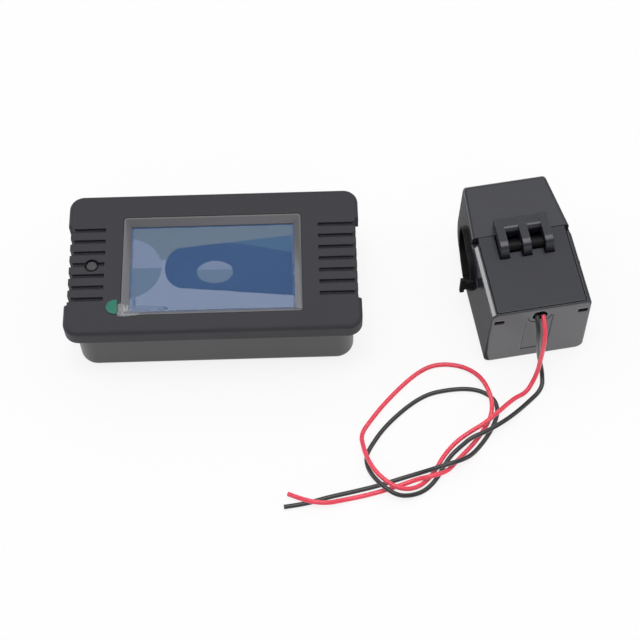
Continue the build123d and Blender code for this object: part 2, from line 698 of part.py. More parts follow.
def ct_cap_shell():
    """Far half: tapered shell with the hinge rail, three arms and the webs between them."""
    near = make_face(Polyline(*outline_at(cap_y0, 0, 0, ct_h), close=True))
    far = make_face(Polyline(*outline_at(cap_y1, cap_taper, 0, ct_h - cap_drop), close=True))
    shape = loft([near.face(), far.face()], ruled=True)
    far_edges = shape.faces().sort_by(Axis.Y)[-1].edges()
    shape = fillet(far_edges.sort_by(Axis.Z)[0], 7.0)
    shape = fillet(shape.faces().sort_by(Axis.Z)[-1].edges().sort_by(Axis.Y)[-1], 2.2)
    top_edges = shape.faces().sort_by(Axis.Z)[-1].edges().sort_by(Axis.X)
    shape = fillet([top_edges[0], top_edges[-1]], cap_edge_r)
    far_y = cap_y1 - cap_end_wall
    drop = cap_drop * (far_y - cap_y0) / cap_l
    roof_z = ct_h - ct_wall
    inner_near = make_face(Polyline(*outline_at(cap_y0 + parting_wall, ct_wall, ct_floor, roof_z), close=True))
    inner_far = make_face(Polyline(*outline_at(far_y, ct_wall + cap_taper, ct_floor, roof_z - drop), close=True))
    hollow = loft([inner_near.face(), inner_far.face()], ruled=True)
    shape -= fillet(hollow.faces().sort_by(Axis.Y)[-1].edges().sort_by(Axis.Z)[0], 4.5)
    shape -= passage(liner_r + running_gap, -5, 40)
    for z0 in (core_bottom, core_top - leg_t):
        shape -= block(leg_x0 - fit_gap, leg_x1 + fit_gap, cap_y0 - 1, cap_y0 + 3, z0 - fit_gap, z0 + leg_t + fit_gap)
    shape -= block(ct_mid - tongue_w / 2 - fold_gap, ct_mid + tongue_w / 2 + fold_gap, cap_y0 - 1,
                   tongue_y1, -1, tongue_z + tongue_t + fold_gap)
    lift = 0.25
    for x in arm_xs:
        arm = block(x - arm_w / 2, x + arm_w / 2, pin_y, cap_y0 + rail_l, ct_h + lift, rail_top)
        arm += block(x - arm_w / 2, x + arm_w / 2, cap_y0, cap_y0 + rail_l, ct_h - 0.8, rail_top)
        arm += rod(barrel_r, (x - arm_w / 2, pin_y, pin_z), (x + arm_w / 2, pin_y, pin_z))
        shape += arm
    for x in gap_xs:
        x0, x1 = x - arm_pitch / 2, x + arm_pitch / 2
        web = block(x0, x1, cap_y0 - web_reach, cap_y0 + rail_l, ct_h + lift, rail_top - web_drop)
        shape += fillet(web.edges().filter_by(Axis.X).group_by(Axis.Z)[-1].sort_by(Axis.Y)[0], web_round)
        shape += block(x0, x1, cap_y0, cap_y0 + rail_l, ct_h - 0.8, ct_h + lift)
    return shape - rod(pin_r + running_gap, (0, pin_y, pin_z), (2 * ct_mid, pin_y, pin_z))


def ct_hinge_lugs():
    """Two upright lugs in the lid's pocket, between the arms, that carry the pin."""
    lugs = []
    for x in gap_xs:
        foot = block(x - lug_w / 2, x + lug_w / 2, pin_y - lug_r, pin_y + lug_r, pocket_z, pin_z)
        eye = rod(lug_r, (x - lug_w / 2, pin_y, pin_z), (x + lug_w / 2, pin_y, pin_z))
        lugs.append((foot + eye) - rod(pin_r, (0, pin_y, pin_z), (2 * ct_mid, pin_y, pin_z)))
    return group(lugs)


def ct_hinge_pin():
    return rod(pin_r, (ct_mid - hinge_half, pin_y, pin_z), (ct_mid + hinge_half, pin_y, pin_z))


def ct_base_liner():
    """Near half of the sleeve in the passage, with a T-shaped tongue at each mouth for a cable tie."""
    half = half_width(aperture_z) + liner_proud
    sleeve = passage(liner_r, ct_mid - half, ct_mid + half) - passage(aperture_r, -10, 50)
    shape = sleeve & block(-10, 50, 0, base_l, 0, 2 * aperture_z)
    y0 = aperture_y0 - liner_r
    z = aperture_z + tie_lift
    for side, reach in ((-1, tie_l), (1, far_tie_l)):
        face = ct_mid + side * (half_width(aperture_z) + 0.15)
        tip = ct_mid + side * (half_width(aperture_z) + reach)
        shape += block(face, tip, y0, y0 + tie_t, z - tie_w / 2, z + tie_w / 2)
        shape += block(tip - side * tie_head_t, tip, y0, y0 + tie_t, z - tie_head_w / 2, z + tie_head_w / 2)
    return shape


def ct_cap_liner():
    """Far half of the sleeve; its ends follow the tapered sides."""
    half = half_width(aperture_z) + liner_proud
    sleeve = passage(liner_r, -10, 50) - passage(aperture_r, -20, 60)
    plan = [(ct_mid - half, cap_y0, 0), (ct_mid + half, cap_y0, 0), (ct_mid + half - cap_taper, cap_y1, 0),
            (ct_mid - half + cap_taper, cap_y1, 0)]
    return sleeve & prism(plan, (0, 0, 1), ct_h)


def ct_core_base():
    """U of core laminations: two legs to the parting and a yoke through the bobbin."""
    legs = [block(leg_x0, leg_x1, yoke_y, base_l, z0, z0 + leg_t) for z0 in (core_bottom, core_top - leg_t)]
    yoke = block(ct_mid - 4, ct_mid + 4, yoke_y, yoke_y + yoke_t, core_bottom, core_top)
    return legs[0] + legs[1] + yoke


def ct_core_cap():
    y1 = aperture_y1 + liner_r + core_gap + yoke_t
    shape = block(leg_x0, leg_x1, cap_y0, y1, core_bottom, core_top)
    shape = fillet(shape.faces().sort_by(Axis.Y)[-1].edges().filter_by(Axis.X), 2.0)
    return shape - block(0, 40, cap_y0 - 1, y1 - yoke_t, core_bottom + leg_t, core_top - leg_t)


bobbin_z0 = core_bottom + leg_t + 0.3
bobbin_z1 = core_top - leg_t - 0.3
bobbin_y = yoke_y + yoke_t / 2


def around_yoke(side, back, z0, z1):
    """A box centred on the yoke, from z0 to z1."""
    return block(ct_mid - side, ct_mid + side, bobbin_y - back, bobbin_y + back, z0, z1)


def ct_bobbin():
    side, back = 4 + 0.1 + bobbin_t, yoke_t / 2 + 0.1 + bobbin_t
    flange_side, flange_back = side + winding_t + 0.5, back + winding_t + 0.3
    shape = around_yoke(side, back, bobbin_z0, bobbin_z1)
    shape += around_yoke(flange_side, flange_back, bobbin_z0, bobbin_z0 + bobbin_t)
    shape += around_yoke(flange_side, flange_back, bobbin_z1 - bobbin_t, bobbin_z1)
    return shape - around_yoke(4.1, yoke_t / 2 + 0.1, 0, 30)


def ct_winding():
    side, back = 4 + 0.1 + bobbin_t, yoke_t / 2 + 0.1 + bobbin_t
    coil = around_yoke(side + winding_t, back + winding_t, bobbin_z0 + bobbin_t, bobbin_z1 - bobbin_t)
    coil = fillet(coil.edges().filter_by(Axis.Z), 2.0)
    return coil - around_yoke(side, back, 0, 30)


def ct_latch_tongue():
    """Tongue from the cap's underside with a window that takes the base's catch."""
    half = tongue_w / 2
    shape = block(ct_mid - half, ct_mid + half, tongue_y0, tongue_y1 - fit_gap, tongue_z, tongue_z + tongue_t)
    shape -= block(ct_mid - catch_w / 2 - 0.3, ct_mid + catch_w / 2 + 0.3, tongue_y0 + 1.3, tongue_y0 + 4.4, -1, 5)
    return shape + block(ct_mid - half, ct_mid + half, tongue_y1 - 3.0, tongue_y1 - fit_gap,
                         tongue_z, tongue_z + tongue_t + fold_gap)


# Leads: their routes from the exit to the bare ends, chosen by hand
def ct_point(x, y, z):
    """A point of the transformer's frame in the meter's frame."""
    turn = radians(ct_turn)
    return (ct_x + x * cos(turn) - y * sin(turn), ct_y + x * sin(turn) + y * cos(turn), z)


def corner_radii(points):
    """For each corner, 0.45 of its shorter run over the tangent of half its turn."""
    radii = []
    for a, b, c in zip(points, points[1:], points[2:]):
        turn = (Vector(*b) - Vector(*a)).get_angle(Vector(*c) - Vector(*b))
        radii.append(0.45 * min(dist(a, b), dist(b, c)) / tan(radians(turn) / 2))
    return radii


def lead(name, points):
    radii = corner_radii(points)
    shape = tube(points, lead_r, radii)
    length = FilletPolyline(*points, radius=radii).length
    ratio = shape.volume / (pi * lead_r**2 * length)
    print(name, "length", round(length, 1), "least radius", round(min(radii), 1), "volume ratio", round(ratio, 4))
    print(name, "radii", [round(radius, 1) for radius in radii])
    return shape


red_points = [
    ct_point(exit_x + lead_spread, 0, exit_z), ct_point(15.8, -3.4, 22.9), ct_point(15.5, -5.9, 20.2),
    ct_point(15.1, -7.1, 15.1), ct_point(14.8, -7.7, 9.8), ct_point(14.2, -8.8, 5.4), ct_point(12.8, -10.3, 2.2),
    ct_point(10.0, -13.2, 0.9), (90.8, -38.4, 1.8), (86.8, -42.3, 3.2), (81.0, -47.3, 3.2), (75.9, -49.7, 1.8),
    (71.6, -52.4, 0.8), (67.8, -56.8, 0.8), (65.3, -61.1, 0.8), (62.9, -64.1, 0.8), (59.9, -66.7, 1.2),
    (56.1, -68.0, 2.4), (52.3, -67.2, 3.2), (47.5, -63.2, 3.9), (45.0, -58.3, 3.4), (43.9, -53.5, 2.2),
    (43.4, -48.8, 0.8), (46.3, -44.5, 0.8), (51.1, -38.4, 0.8), (58.3, -31.0, 0.8), (64.2, -26.6, 0.8),
    (69.5, -25.4, 0.8), (75.1, -26.3, 0.8), (79.1, -29.1, 1.8), (81.8, -33.3, 3.2), (83.7, -38.9, 2.8),
    (83.5, -43.2, 0.8), (81.0, -47.9, 0.8), (77.8, -52.2, 0.8), (75.0, -55.2, 0.8), (71.9, -58.3, 0.9),
    (69.0, -62.0, 2.0), (65.6, -63.8, 3.2), (62.4, -64.5, 3.2), (59.2, -64.5, 1.6), (55.0, -65.7, 0.8),
    (49.2, -67.5, 0.8), (43.1, -69.0, 0.8), (37.6, -70.0, 0.8), (32.1, -71.9, 2.9), (26.1, -70.8, 2.9),
    (21.2, -67.6, 0.8)]
black_points = [
    ct_point(exit_x - lead_spread, 0, exit_z), ct_point(13.9, -2.7, 22.9), ct_point(13.9, -4.8, 20.3),
    ct_point(14.2, -5.2, 15.5), ct_point(14.8, -5.2, 10.4), ct_point(15.6, -5.9, 5.8), ct_point(16.1, -8.4, 2.4),
    ct_point(15.2, -12.8, 0.9), (94.3, -40.0, 0.8), (90.6, -43.7, 2.2), (86.4, -47.1, 3.2), (80.8, -50.3, 3.2),
    (76.6, -51.9, 3.2), (73.3, -54.1, 1.8), (70.4, -56.3, 0.8), (68.2, -59.3, 0.8), (66.4, -62.5, 0.8),
    (64.3, -65.4, 0.8), (61.5, -67.9, 0.8), (57.8, -69.5, 1.4), (53.9, -70.0, 2.6), (50.7, -68.4, 3.2),
    (46.8, -64.3, 2.9), (45.0, -60.2, 1.3), (44.6, -56.2, 0.8), (46.4, -52.6, 0.8), (50.7, -46.5, 0.8),
    (57.8, -39.9, 0.8), (63.7, -36.1, 0.8), (68.8, -34.8, 0.8), (75.1, -34.2, 0.8), (80.2, -34.9, 0.8),
    (84.2, -37.5, 0.8), (85.5, -41.1, 0.8), (84.6, -45.2, 0.8), (82.3, -49.5, 0.8), (79.2, -53.7, 0.8),
    (75.9, -57.5, 2.0), (72.3, -59.9, 4.0), (68.6, -61.0, 4.2), (64.4, -62.0, 3.4), (59.8, -62.6, 1.6),
    (54.3, -63.8, 0.8), (48.7, -65.6, 0.8), (40.4, -67.5, 0.8), (32.1, -69.2, 0.8), (26.1, -71.0, 0.8),
    (19.8, -71.7, 0.8)]


def ct_lead_tails():
    """The leads' first stretch, from beside the winding out to the wall's face, cut square to the leads outside."""
    tails = []
    for x, points in zip(lead_xs(), (black_points, red_points)):
        tail = rod(lead_r, ct_point(x, -1, exit_z), ct_point(x, tail_l, exit_z))
        square = Plane(origin=points[0], z_dir=Vector(*points[1]) - Vector(*points[0]))
        tails.append(tail - square * Pos(0, 0, 2) * Box(8, 8, 4))
    return group(tails)


if __name__ == "__main__":
    save("lead_red", lead("red", red_points))
    save("lead_black", lead("black", black_points))
    save("front_bezel", front_bezel())
    save("window_frame", window_frame())
    save("rear_case", rear_case())
    save("panel_clip_left", panel_clip(-1))
    save("panel_clip_right", panel_clip(1))
    save("main_board", main_board())
    save("button_cap", button_cap())
    save("tact_switch", tact_switch())
    save("switch_plunger", switch_plunger())
    save("lcd_panel", lcd_panel())
    save("lcd_holder", lcd_holder())
    save("lcd_diffuser", lcd_diffuser())
    save("backlight_leds", backlight_leds())
    save("lcd_pins", lcd_pins())
    save("screen_film", screen_film())
    save("film_pull_tab", film_pull_tab())
    save("mains_capacitor", mains_capacitor())
    save("smoothing_capacitor", can(smoothing_x, smoothing_y, smoothing_r, smoothing_h))
    save("filter_capacitor", can(filter_x, filter_y, filter_r, filter_h))
    save("fuse_resistor", fuse_resistor())
    save("varistor", varistor())
    save("metering_chip", chip(metering_x, metering_y, metering_l, metering_w, metering_h, metering_legs))
    save("controller_chip", chip(controller_x, controller_y, controller_l, controller_w, controller_h, controller_legs))
    save("terminal_block", terminal_block())
    save("terminal_contacts", terminal_contacts())
    for number, x in enumerate(pole_xs, start=1):
        save(f"terminal_screw_{number}", terminal_screw(x))
        save(f"terminal_cage_{number}", terminal_cage(x))
    save("ct_base_shell", place_ct(ct_base_shell()))
    save("ct_base_lid", place_ct(ct_base_lid()))
    save("ct_wire_clamp", place_ct(ct_wire_clamp()))
    save("ct_cap_shell", place_ct(ct_cap_shell()))
    save("ct_hinge_lugs", place_ct(ct_hinge_lugs()))
    save("ct_hinge_pin", place_ct(ct_hinge_pin()))
    save("ct_base_liner", place_ct(ct_base_liner()))
    save("ct_cap_liner", place_ct(ct_cap_liner()))
    save("ct_core_base", place_ct(ct_core_base()))
    save("ct_core_cap", place_ct(ct_core_cap()))
    save("ct_bobbin", place_ct(ct_bobbin()))
    save("ct_winding", place_ct(ct_winding()))
    save("ct_lead_tails", ct_lead_tails())
    save("ct_latch_tongue", place_ct(ct_latch_tongue()))
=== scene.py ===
# %% [markdown]
# # A panel power meter and its split-core transformer
# This lesson dresses a measured model for a product picture. The model arrives as a fixed frame: every
# moulding, screw and hinge already has its place and size in metres. Blender adds what measuring tools
# can't: finishes, soft film, supple leads, light and a camera.

import bpy
import numpy as np
from mathutils import Matrix, Vector


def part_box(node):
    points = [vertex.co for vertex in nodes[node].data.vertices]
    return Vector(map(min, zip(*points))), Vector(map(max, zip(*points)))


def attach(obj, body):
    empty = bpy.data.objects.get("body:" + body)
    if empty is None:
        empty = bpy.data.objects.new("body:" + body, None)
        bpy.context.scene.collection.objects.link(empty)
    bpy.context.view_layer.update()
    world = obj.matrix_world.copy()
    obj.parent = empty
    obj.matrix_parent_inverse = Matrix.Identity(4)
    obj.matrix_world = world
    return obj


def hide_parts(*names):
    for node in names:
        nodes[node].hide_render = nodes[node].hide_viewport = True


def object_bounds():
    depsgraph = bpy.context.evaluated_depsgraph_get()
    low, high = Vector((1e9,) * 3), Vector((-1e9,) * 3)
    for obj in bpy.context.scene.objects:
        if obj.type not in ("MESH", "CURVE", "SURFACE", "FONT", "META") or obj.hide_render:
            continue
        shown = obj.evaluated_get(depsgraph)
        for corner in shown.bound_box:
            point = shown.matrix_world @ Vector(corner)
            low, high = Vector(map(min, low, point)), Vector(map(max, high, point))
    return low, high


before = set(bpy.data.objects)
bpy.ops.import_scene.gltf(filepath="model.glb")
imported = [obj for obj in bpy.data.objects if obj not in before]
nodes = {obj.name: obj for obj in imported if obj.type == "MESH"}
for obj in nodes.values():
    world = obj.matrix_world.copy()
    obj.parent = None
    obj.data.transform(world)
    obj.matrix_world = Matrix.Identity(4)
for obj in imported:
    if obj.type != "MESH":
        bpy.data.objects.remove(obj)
model_low, model_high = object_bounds()
MM = 0.001
print(len(nodes), "nodes, model size in mm:", [round(side / MM, 1) for side in model_high - model_low])

# %% [markdown]
# ## Camera
# The picture was taken from about 0.5 m, 60 degrees above the table, with a lens of the length used for
# portraits. A camera can be aimed with a constraint, but a fixed matrix is plainer: its columns are right,
# up and backwards.

# %% Camera
camera_place = Vector((30.033, -251.841, 424.017)) * MM
camera_right = Vector((0.999599, -0.026398, -0.010247))
camera_up = Vector((0.027993, 0.866583, 0.498248))
sensor_width = 36.0       # mm
focal_length = 87.19      # mm
nearest, farthest = 0.01, 20.0          # metres that the camera sees between

camera_data = bpy.data.cameras.new("picture_camera")
camera_data.sensor_width = sensor_width
camera_data.lens = focal_length
camera_data.clip_start, camera_data.clip_end = nearest, farthest
camera = bpy.data.objects.new("picture_camera", camera_data)
bpy.context.scene.collection.objects.link(camera)
turn = Matrix((camera_right, camera_up, camera_right.cross(camera_up))).transposed()
camera.matrix_world = Matrix.Translation(camera_place) @ turn.to_4x4()
bpy.context.scene.camera = camera
print("camera distance", round(camera_place.length, 3), "m")

# %% [markdown]
# ## Two leads
# Each lead is a soft, thin insulated wire that lies on the table in loose curves and crosses the other one.
# A mesh tube would show kinks, so the route is a NURBS spline: it glides past its control points, and its
# bevel gives it the wire's round section. Heights of 0.7 mm, the wire's radius, are the wire lying on the
# table, and the higher points are the humps where it climbs over a crossing. The first points of each route
# are given from the transformer's own corner, because it stands a little turned.

# %% Places on the transformer
transformer_corner = Vector((82.7, -24.7, 0.0))
transformer_turn = np.radians(8.3)


def from_transformer(along, away, height):
    """A point of the transformer's own frame, turned and moved to its place beside the meter."""
    cosine, sine = np.cos(transformer_turn), np.sin(transformer_turn)
    return (transformer_corner.x + along * cosine - away * sine,
            transformer_corner.y + along * sine + away * cosine, height)


print("the leads leave the transformer near", [round(side, 1) for side in from_transformer(15, 0, 24)], "mm")

# %% Routes of the leads, in millimetres
lead_radius = 0.7
red_route = [
    from_transformer(15.95, 0, 24), from_transformer(15.8, -3.4, 22.9), from_transformer(15.5, -5.9, 20.2),
    from_transformer(15.1, -7.1, 15.1), from_transformer(14.8, -7.7, 9.8), from_transformer(14.2, -8.8, 5.4),
    from_transformer(12.8, -10.3, 2.2), from_transformer(10.0, -13.2, 0.9),
    (90.8, -38.4, 1.8), (86.8, -42.3, 3.2),
    (81.0, -47.3, 3.2), (75.9, -49.7, 1.8), (71.6, -52.4, 0.7), (67.8, -56.8, 0.7), (65.3, -61.1, 0.7),
    (62.9, -64.1, 0.7), (59.9, -66.7, 1.2), (56.1, -68.0, 2.4), (52.3, -67.2, 3.2), (47.5, -63.2, 3.9),
    (45.0, -58.3, 3.4), (43.9, -53.5, 2.2), (43.4, -48.8, 0.7), (46.3, -44.5, 0.7), (51.1, -38.4, 0.7),
    (58.3, -31.0, 0.7), (64.2, -26.6, 0.7), (69.5, -25.4, 0.7), (75.1, -26.3, 0.7), (79.1, -29.1, 1.8),
    (81.8, -33.3, 3.2), (83.7, -38.9, 2.8), (83.5, -43.2, 0.7), (81.0, -47.9, 0.7), (77.8, -52.2, 0.7),
    (75.0, -55.2, 0.7), (71.9, -58.3, 0.9), (69.0, -62.0, 2.0), (65.6, -63.8, 3.2), (62.4, -64.5, 3.2),
    (59.2, -64.5, 1.6), (55.0, -65.7, 0.7), (49.2, -67.5, 0.7), (43.1, -69.0, 0.7), (37.6, -70.0, 0.7),
    (32.1, -71.9, 2.9), (26.1, -70.8, 2.9), (21.2, -67.6, 0.7)]
black_route = [
    from_transformer(14.05, 0, 24), from_transformer(13.9, -2.7, 22.9), from_transformer(13.9, -4.8, 20.3),
    from_transformer(14.2, -5.2, 15.5), from_transformer(14.8, -5.2, 10.4), from_transformer(15.6, -5.9, 5.8),
    from_transformer(16.1, -8.4, 2.4), from_transformer(15.2, -12.8, 0.9),
    (94.3, -40.0, 0.7), (90.6, -43.7, 2.2),
    (86.4, -47.1, 3.2), (80.8, -50.3, 3.2), (76.6, -51.9, 3.2), (73.3, -54.1, 1.8), (70.4, -56.3, 0.7),
    (68.2, -59.3, 0.7), (66.4, -62.5, 0.7), (64.3, -65.4, 0.7), (61.5, -67.9, 0.7), (57.8, -69.5, 1.4),
    (53.9, -70.0, 2.6), (50.7, -68.4, 3.2), (46.8, -64.3, 2.9), (45.0, -60.2, 1.3), (44.6, -56.2, 0.7),
    (46.4, -52.6, 0.7), (50.7, -46.5, 0.7), (57.8, -39.9, 0.7), (63.7, -36.1, 0.7), (68.8, -34.8, 0.7),
    (75.1, -34.2, 0.7), (80.2, -34.9, 0.7), (84.2, -37.5, 0.7), (85.5, -41.1, 0.7), (84.6, -45.2, 0.7),
    (82.3, -49.5, 0.7), (79.2, -53.7, 0.7), (75.9, -57.5, 2.0), (72.3, -59.9, 4.0), (68.6, -61.0, 4.2),
    (64.4, -62.0, 3.4), (59.8, -62.6, 1.6), (54.3, -63.8, 0.7), (48.7, -65.6, 0.7), (40.4, -67.5, 0.7),
    (32.1, -69.2, 0.7), (26.1, -71.0, 0.7), (19.8, -71.7, 0.7)]
print("points in the two routes:", len(red_route), len(black_route))


# %% Make the leads
def insulated_lead(name, route):
    """A wire along a NURBS curve of order 3, where squares of the distance along it blend three points at a
    time. A circle carried along the curve is its section, with the bevel times each point's radius."""
    curve = bpy.data.curves.new(name, "CURVE")
    curve.dimensions = "3D"
    curve.bevel_depth = 1.0
    curve.bevel_resolution = 6
    curve.use_fill_caps = True
    curve.resolution_u = curve.render_resolution_u = 8
    spline = curve.splines.new("NURBS")
    spline.points.add(len(route) - 1)
    for point, place in zip(spline.points, route):
        point.co = (*(Vector(place) * MM), 1.0)
        point.radius = lead_radius * MM
    spline.order_u = 3
    spline.use_endpoint_u = True
    lead = bpy.data.objects.new(name, curve)
    bpy.context.scene.collection.objects.link(lead)
    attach(lead, "base")
    return lead


red_lead = insulated_lead("red_lead", red_route)
black_lead = insulated_lead("black_lead", black_route)
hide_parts("lead_red")
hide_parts("lead_black")
# The real wall behind the leads is too uneven to mirror a thin wire, and the smooth one here would show
# each twice.
red_lead.visible_glossy = black_lead.visible_glossy = False
print("leads", round(2 * lead_radius, 1), "mm thick")

# %% [markdown]
# ## Helpers
# Every finish below is a small tree of nodes, and every new piece is a grid of points. One function adds a
# node with its settings, one turns the written colours to light, and one makes a mesh of a grid.

# %% Helpers for node trees, colours and grids
def add_node(tree, kind, values=None, links=None, **settings):
    """Add one node: settings are its properties, values its socket numbers, links what feeds its sockets."""
    made = tree.nodes.new(kind)
    for key, value in settings.items():
        setattr(made, key, value)
    for key, value in (values or {}).items():
        made.inputs[key].default_value = value
    for key, socket in (links or {}).items():
        tree.links.new(socket, made.inputs[key])
    return made


def linear(hex_colour):
    """An sRGB hex colour turned to linear light: a straight part near black, and a power of 2.4 above it."""
    channels = np.array([int(hex_colour[i:i + 2], 16) for i in (1, 3, 5)]) / 255
    light = np.where(channels <= 0.04045, channels / 12.92, ((channels + 0.055) / 1.055)**2.4)
    return (*light.tolist(), 1.0)


def empty_material(name):
    """A material with an empty tree, and the tree."""
    material = bpy.data.materials.new(name)
    material.use_nodes = True
    material.node_tree.nodes.clear()
    return material, material.node_tree


def grid_piece(name, points):
    """A mesh from points on a grid (rows, columns, 3) in millimetres, with quads between neighbours."""
    rows, columns = points.shape[:2]
    index = np.arange(rows * columns).reshape(rows, columns)
    quads = np.stack([index[:-1, :-1], index[:-1, 1:], index[1:, 1:], index[1:, :-1]], axis=-1).reshape(-1, 4)
    mesh = bpy.data.meshes.new(name)
    mesh.from_pydata((points.reshape(-1, 3) * MM).tolist(), [], quads.tolist())
    mesh.polygons.foreach_set("use_smooth", np.ones(len(quads), bool))
    piece = bpy.data.objects.new(name, mesh)
    bpy.context.scene.collection.objects.link(piece)
    return piece


print("mid grey #808080 is", round(linear("#808080")[0], 3), "of white light")

# %% [markdown]
# ## Table, world and light
# The object was photographed on white, under a wide soft light that stands above and a little behind it.
# Dark plastic shows its surroundings more than its own colour, so the surroundings matter most here: a wide
# dim lamp overhead with a small bright one beside it, a dimmer room in front, and a white table below. The
# table is told apart by who looks at it. The camera sees it mostly as a plain white glow, and the light
# that meets it finds ordinary white card, which throws back no more than card does. Reflections see a
# brighter glow but less of it, so that the shadow on the card still shows in them.

# %% Table
table_size = 4000.0       # mm
table_drop = 0.05         # mm below the object's feet
across = np.linspace(-table_size / 2, table_size / 2, 3)
table_x, table_y = np.meshgrid(across, across)
table = grid_piece("table", np.stack([table_x, table_y, np.full_like(table_x, -table_drop)], axis=-1))
print("table", table_size * MM, "m wide")

# %% White card on the table
glow_seen, glow_mirrored = 0.8, 0.4     # shares of glow for the camera and for reflections
glow_level = 1.04         # times white, for the camera
mirrored_extra = 1.2      # times white, added to it in reflections

card_white, tree = empty_material("white_card")
paths = add_node(tree, "ShaderNodeLightPath")
seen = add_node(tree, "ShaderNodeMath", operation="MAXIMUM",
                links={0: paths.outputs["Is Camera Ray"], 1: paths.outputs["Is Transmission Ray"]})
straight = add_node(tree, "ShaderNodeMath", operation="MULTIPLY", values={1: glow_seen},
                    links={0: seen.outputs[0]})
share = add_node(tree, "ShaderNodeMath", operation="MULTIPLY_ADD", values={1: glow_mirrored},
                 links={0: paths.outputs["Is Glossy Ray"], 2: straight.outputs[0]})
card = add_node(tree, "ShaderNodeBsdfDiffuse", values={"Color": linear("#F4F4F4")})
brightness = add_node(tree, "ShaderNodeMath", operation="MULTIPLY_ADD",
                      values={1: mirrored_extra, 2: glow_level}, links={0: paths.outputs["Is Glossy Ray"]})
glow = add_node(tree, "ShaderNodeEmission", values={"Color": (1, 1, 1, 1)},
                links={"Strength": brightness.outputs[0]})
mixed = add_node(tree, "ShaderNodeMixShader",
                 links={0: share.outputs[0], 1: card.outputs[0], 2: glow.outputs[0]})
add_node(tree, "ShaderNodeOutputMaterial", links={"Surface": mixed.outputs[0]})
table.data.materials.append(card_white)
print("table's glow in reflections", round(glow_mirrored * (glow_level + mirrored_extra), 2), "of white")

# %% World: a room that is dimmer in front than behind
front_level, back_level = 0.3, 0.42     # times white
front_ends, back_starts = -0.8, 0.5     # where the level changes, as the Y part of the direction

scene = bpy.context.scene
scene.view_settings.view_transform = "Standard"
world = bpy.data.worlds.new("studio")
world.use_nodes = True
scene.world = world
tree = world.node_tree
tree.nodes.clear()
direction = add_node(tree, "ShaderNodeTexCoord")
axes = add_node(tree, "ShaderNodeSeparateXYZ", links={"Vector": direction.outputs["Generated"]})
level = add_node(tree, "ShaderNodeMapRange", interpolation_type="SMOOTHSTEP",
                 links={"Value": axes.outputs["Y"]}, values={
                     "From Min": front_ends, "From Max": back_starts,
                     "To Min": front_level, "To Max": back_level})
paths = add_node(tree, "ShaderNodeLightPath")
room = add_node(tree, "ShaderNodeBackground", values={"Color": (1, 1, 1, 1)},
                links={"Strength": level.outputs[0]})
white = add_node(tree, "ShaderNodeBackground", values={"Color": (1, 1, 1, 1), "Strength": 1.0})
mixed = add_node(tree, "ShaderNodeMixShader",
                 links={0: paths.outputs["Is Camera Ray"], 1: room.outputs[0], 2: white.outputs[0]})
add_node(tree, "ShaderNodeOutputWorld", links={"Surface": mixed.outputs[0]})
print("room level", front_level, "in front and", back_level, "behind")

# %% Lamps
object_middle = (model_low + model_high) / 2


def softbox(name, place, width, height, radiance):
    """A rectangular lamp aimed at the object, in metres. Its power is radiance times pi times its area."""
    lamp = bpy.data.lights.new(name, "AREA")
    lamp.shape = "RECTANGLE"
    lamp.size, lamp.size_y = width, height
    lamp.energy = radiance * np.pi * width * height
    holder = bpy.data.objects.new(name, lamp)
    bpy.context.scene.collection.objects.link(holder)
    holder.location = Vector(place)
    holder.rotation_mode = "QUATERNION"
    holder.rotation_quaternion = (object_middle - holder.location).to_track_quat("-Z", "Y")
    print(name, "power", round(lamp.energy, 1), "W")


softbox("overhead_box", (0.05, 0.45, 1.15), 2.0, 1.4, 0.45)
softbox("top_box", (0.0, -0.1, 1.25), 0.5, 0.5, 6.0)
softbox("left_box", (-1.1, 0.1, 0.6), 0.6, 0.8, 1.0)
softbox("right_box", (1.3, 0.1, 0.6), 0.6, 0.8, 1.0)
softbox("front_box", (0.35, -1.2, 0.55), 0.9, 0.5, 0.55)

# %% [markdown]
# ## What the screen mirrors
# The screen is a flat mirror for the room. A long dark shape with an opening in it hung over the object,
# and the end of it shows in the glass, with a round lamp beside it and the ceiling round about. To place
# such a reflection, draw it on the screen first. Then carry each of its points along the mirrored line of
# sight, which starts at the camera's mirror image below the screen, up to a card overhead. Only glossy rays
# see these cards, so they neither light nor shade anything.

# %% Cards for reflections
film_rest_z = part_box("screen_film")[1].z / MM
eye = np.array(camera_place) / MM
mirrored_eye = np.array([eye[0], eye[1], 2 * film_rest_z - eye[2]])
print("mirrored eye in mm:", mirrored_eye.round(1).tolist())


def lift_to_card(points, height):
    """Carry points of the screen to a height: the mirrored eye plus the way from it to the point,
    times how often the eye's climb to the screen goes into its climb to the height."""
    on_screen = np.column_stack([points, np.full(len(points), film_rest_z)])
    reach = (height - mirrored_eye[2]) / (film_rest_z - mirrored_eye[2])
    return mirrored_eye + (on_screen - mirrored_eye) * reach


def glossy_card(name, corners, glow):
    """A glowing sheet on a grid of points in millimetres, seen only in reflections.
    Its glow is one level, or three for red, green and blue. Its strength is the greatest of them, and its
    tint is each of them over the greatest."""
    piece = grid_piece(name, np.array(corners))
    material, tree = empty_material(name)
    level = float(np.max(glow))
    tint = (np.broadcast_to(glow, 3) / level).tolist()
    light = add_node(tree, "ShaderNodeEmission", values={"Color": (*tint, 1.0), "Strength": level})
    add_node(tree, "ShaderNodeOutputMaterial", links={"Surface": light.outputs[0]})
    piece.data.materials.append(material)
    for kind in ("camera", "diffuse", "transmission", "volume_scatter", "shadow"):
        setattr(piece, "visible_" + kind, False)


def reflection_card(name, along, lower, upper, glow, height):
    """A band between two curves over the same places along the screen, carried up to a height."""
    glossy_card(name, [lift_to_card(np.column_stack([along, edge]), height) for edge in (lower, upper)], glow)


def level_card(name, left, right, bottom, top, glow, height):
    """A rectangle of the screen, carried up to a height."""
    reflection_card(name, np.array([left, right]), np.full(2, bottom), np.full(2, top), glow, height)


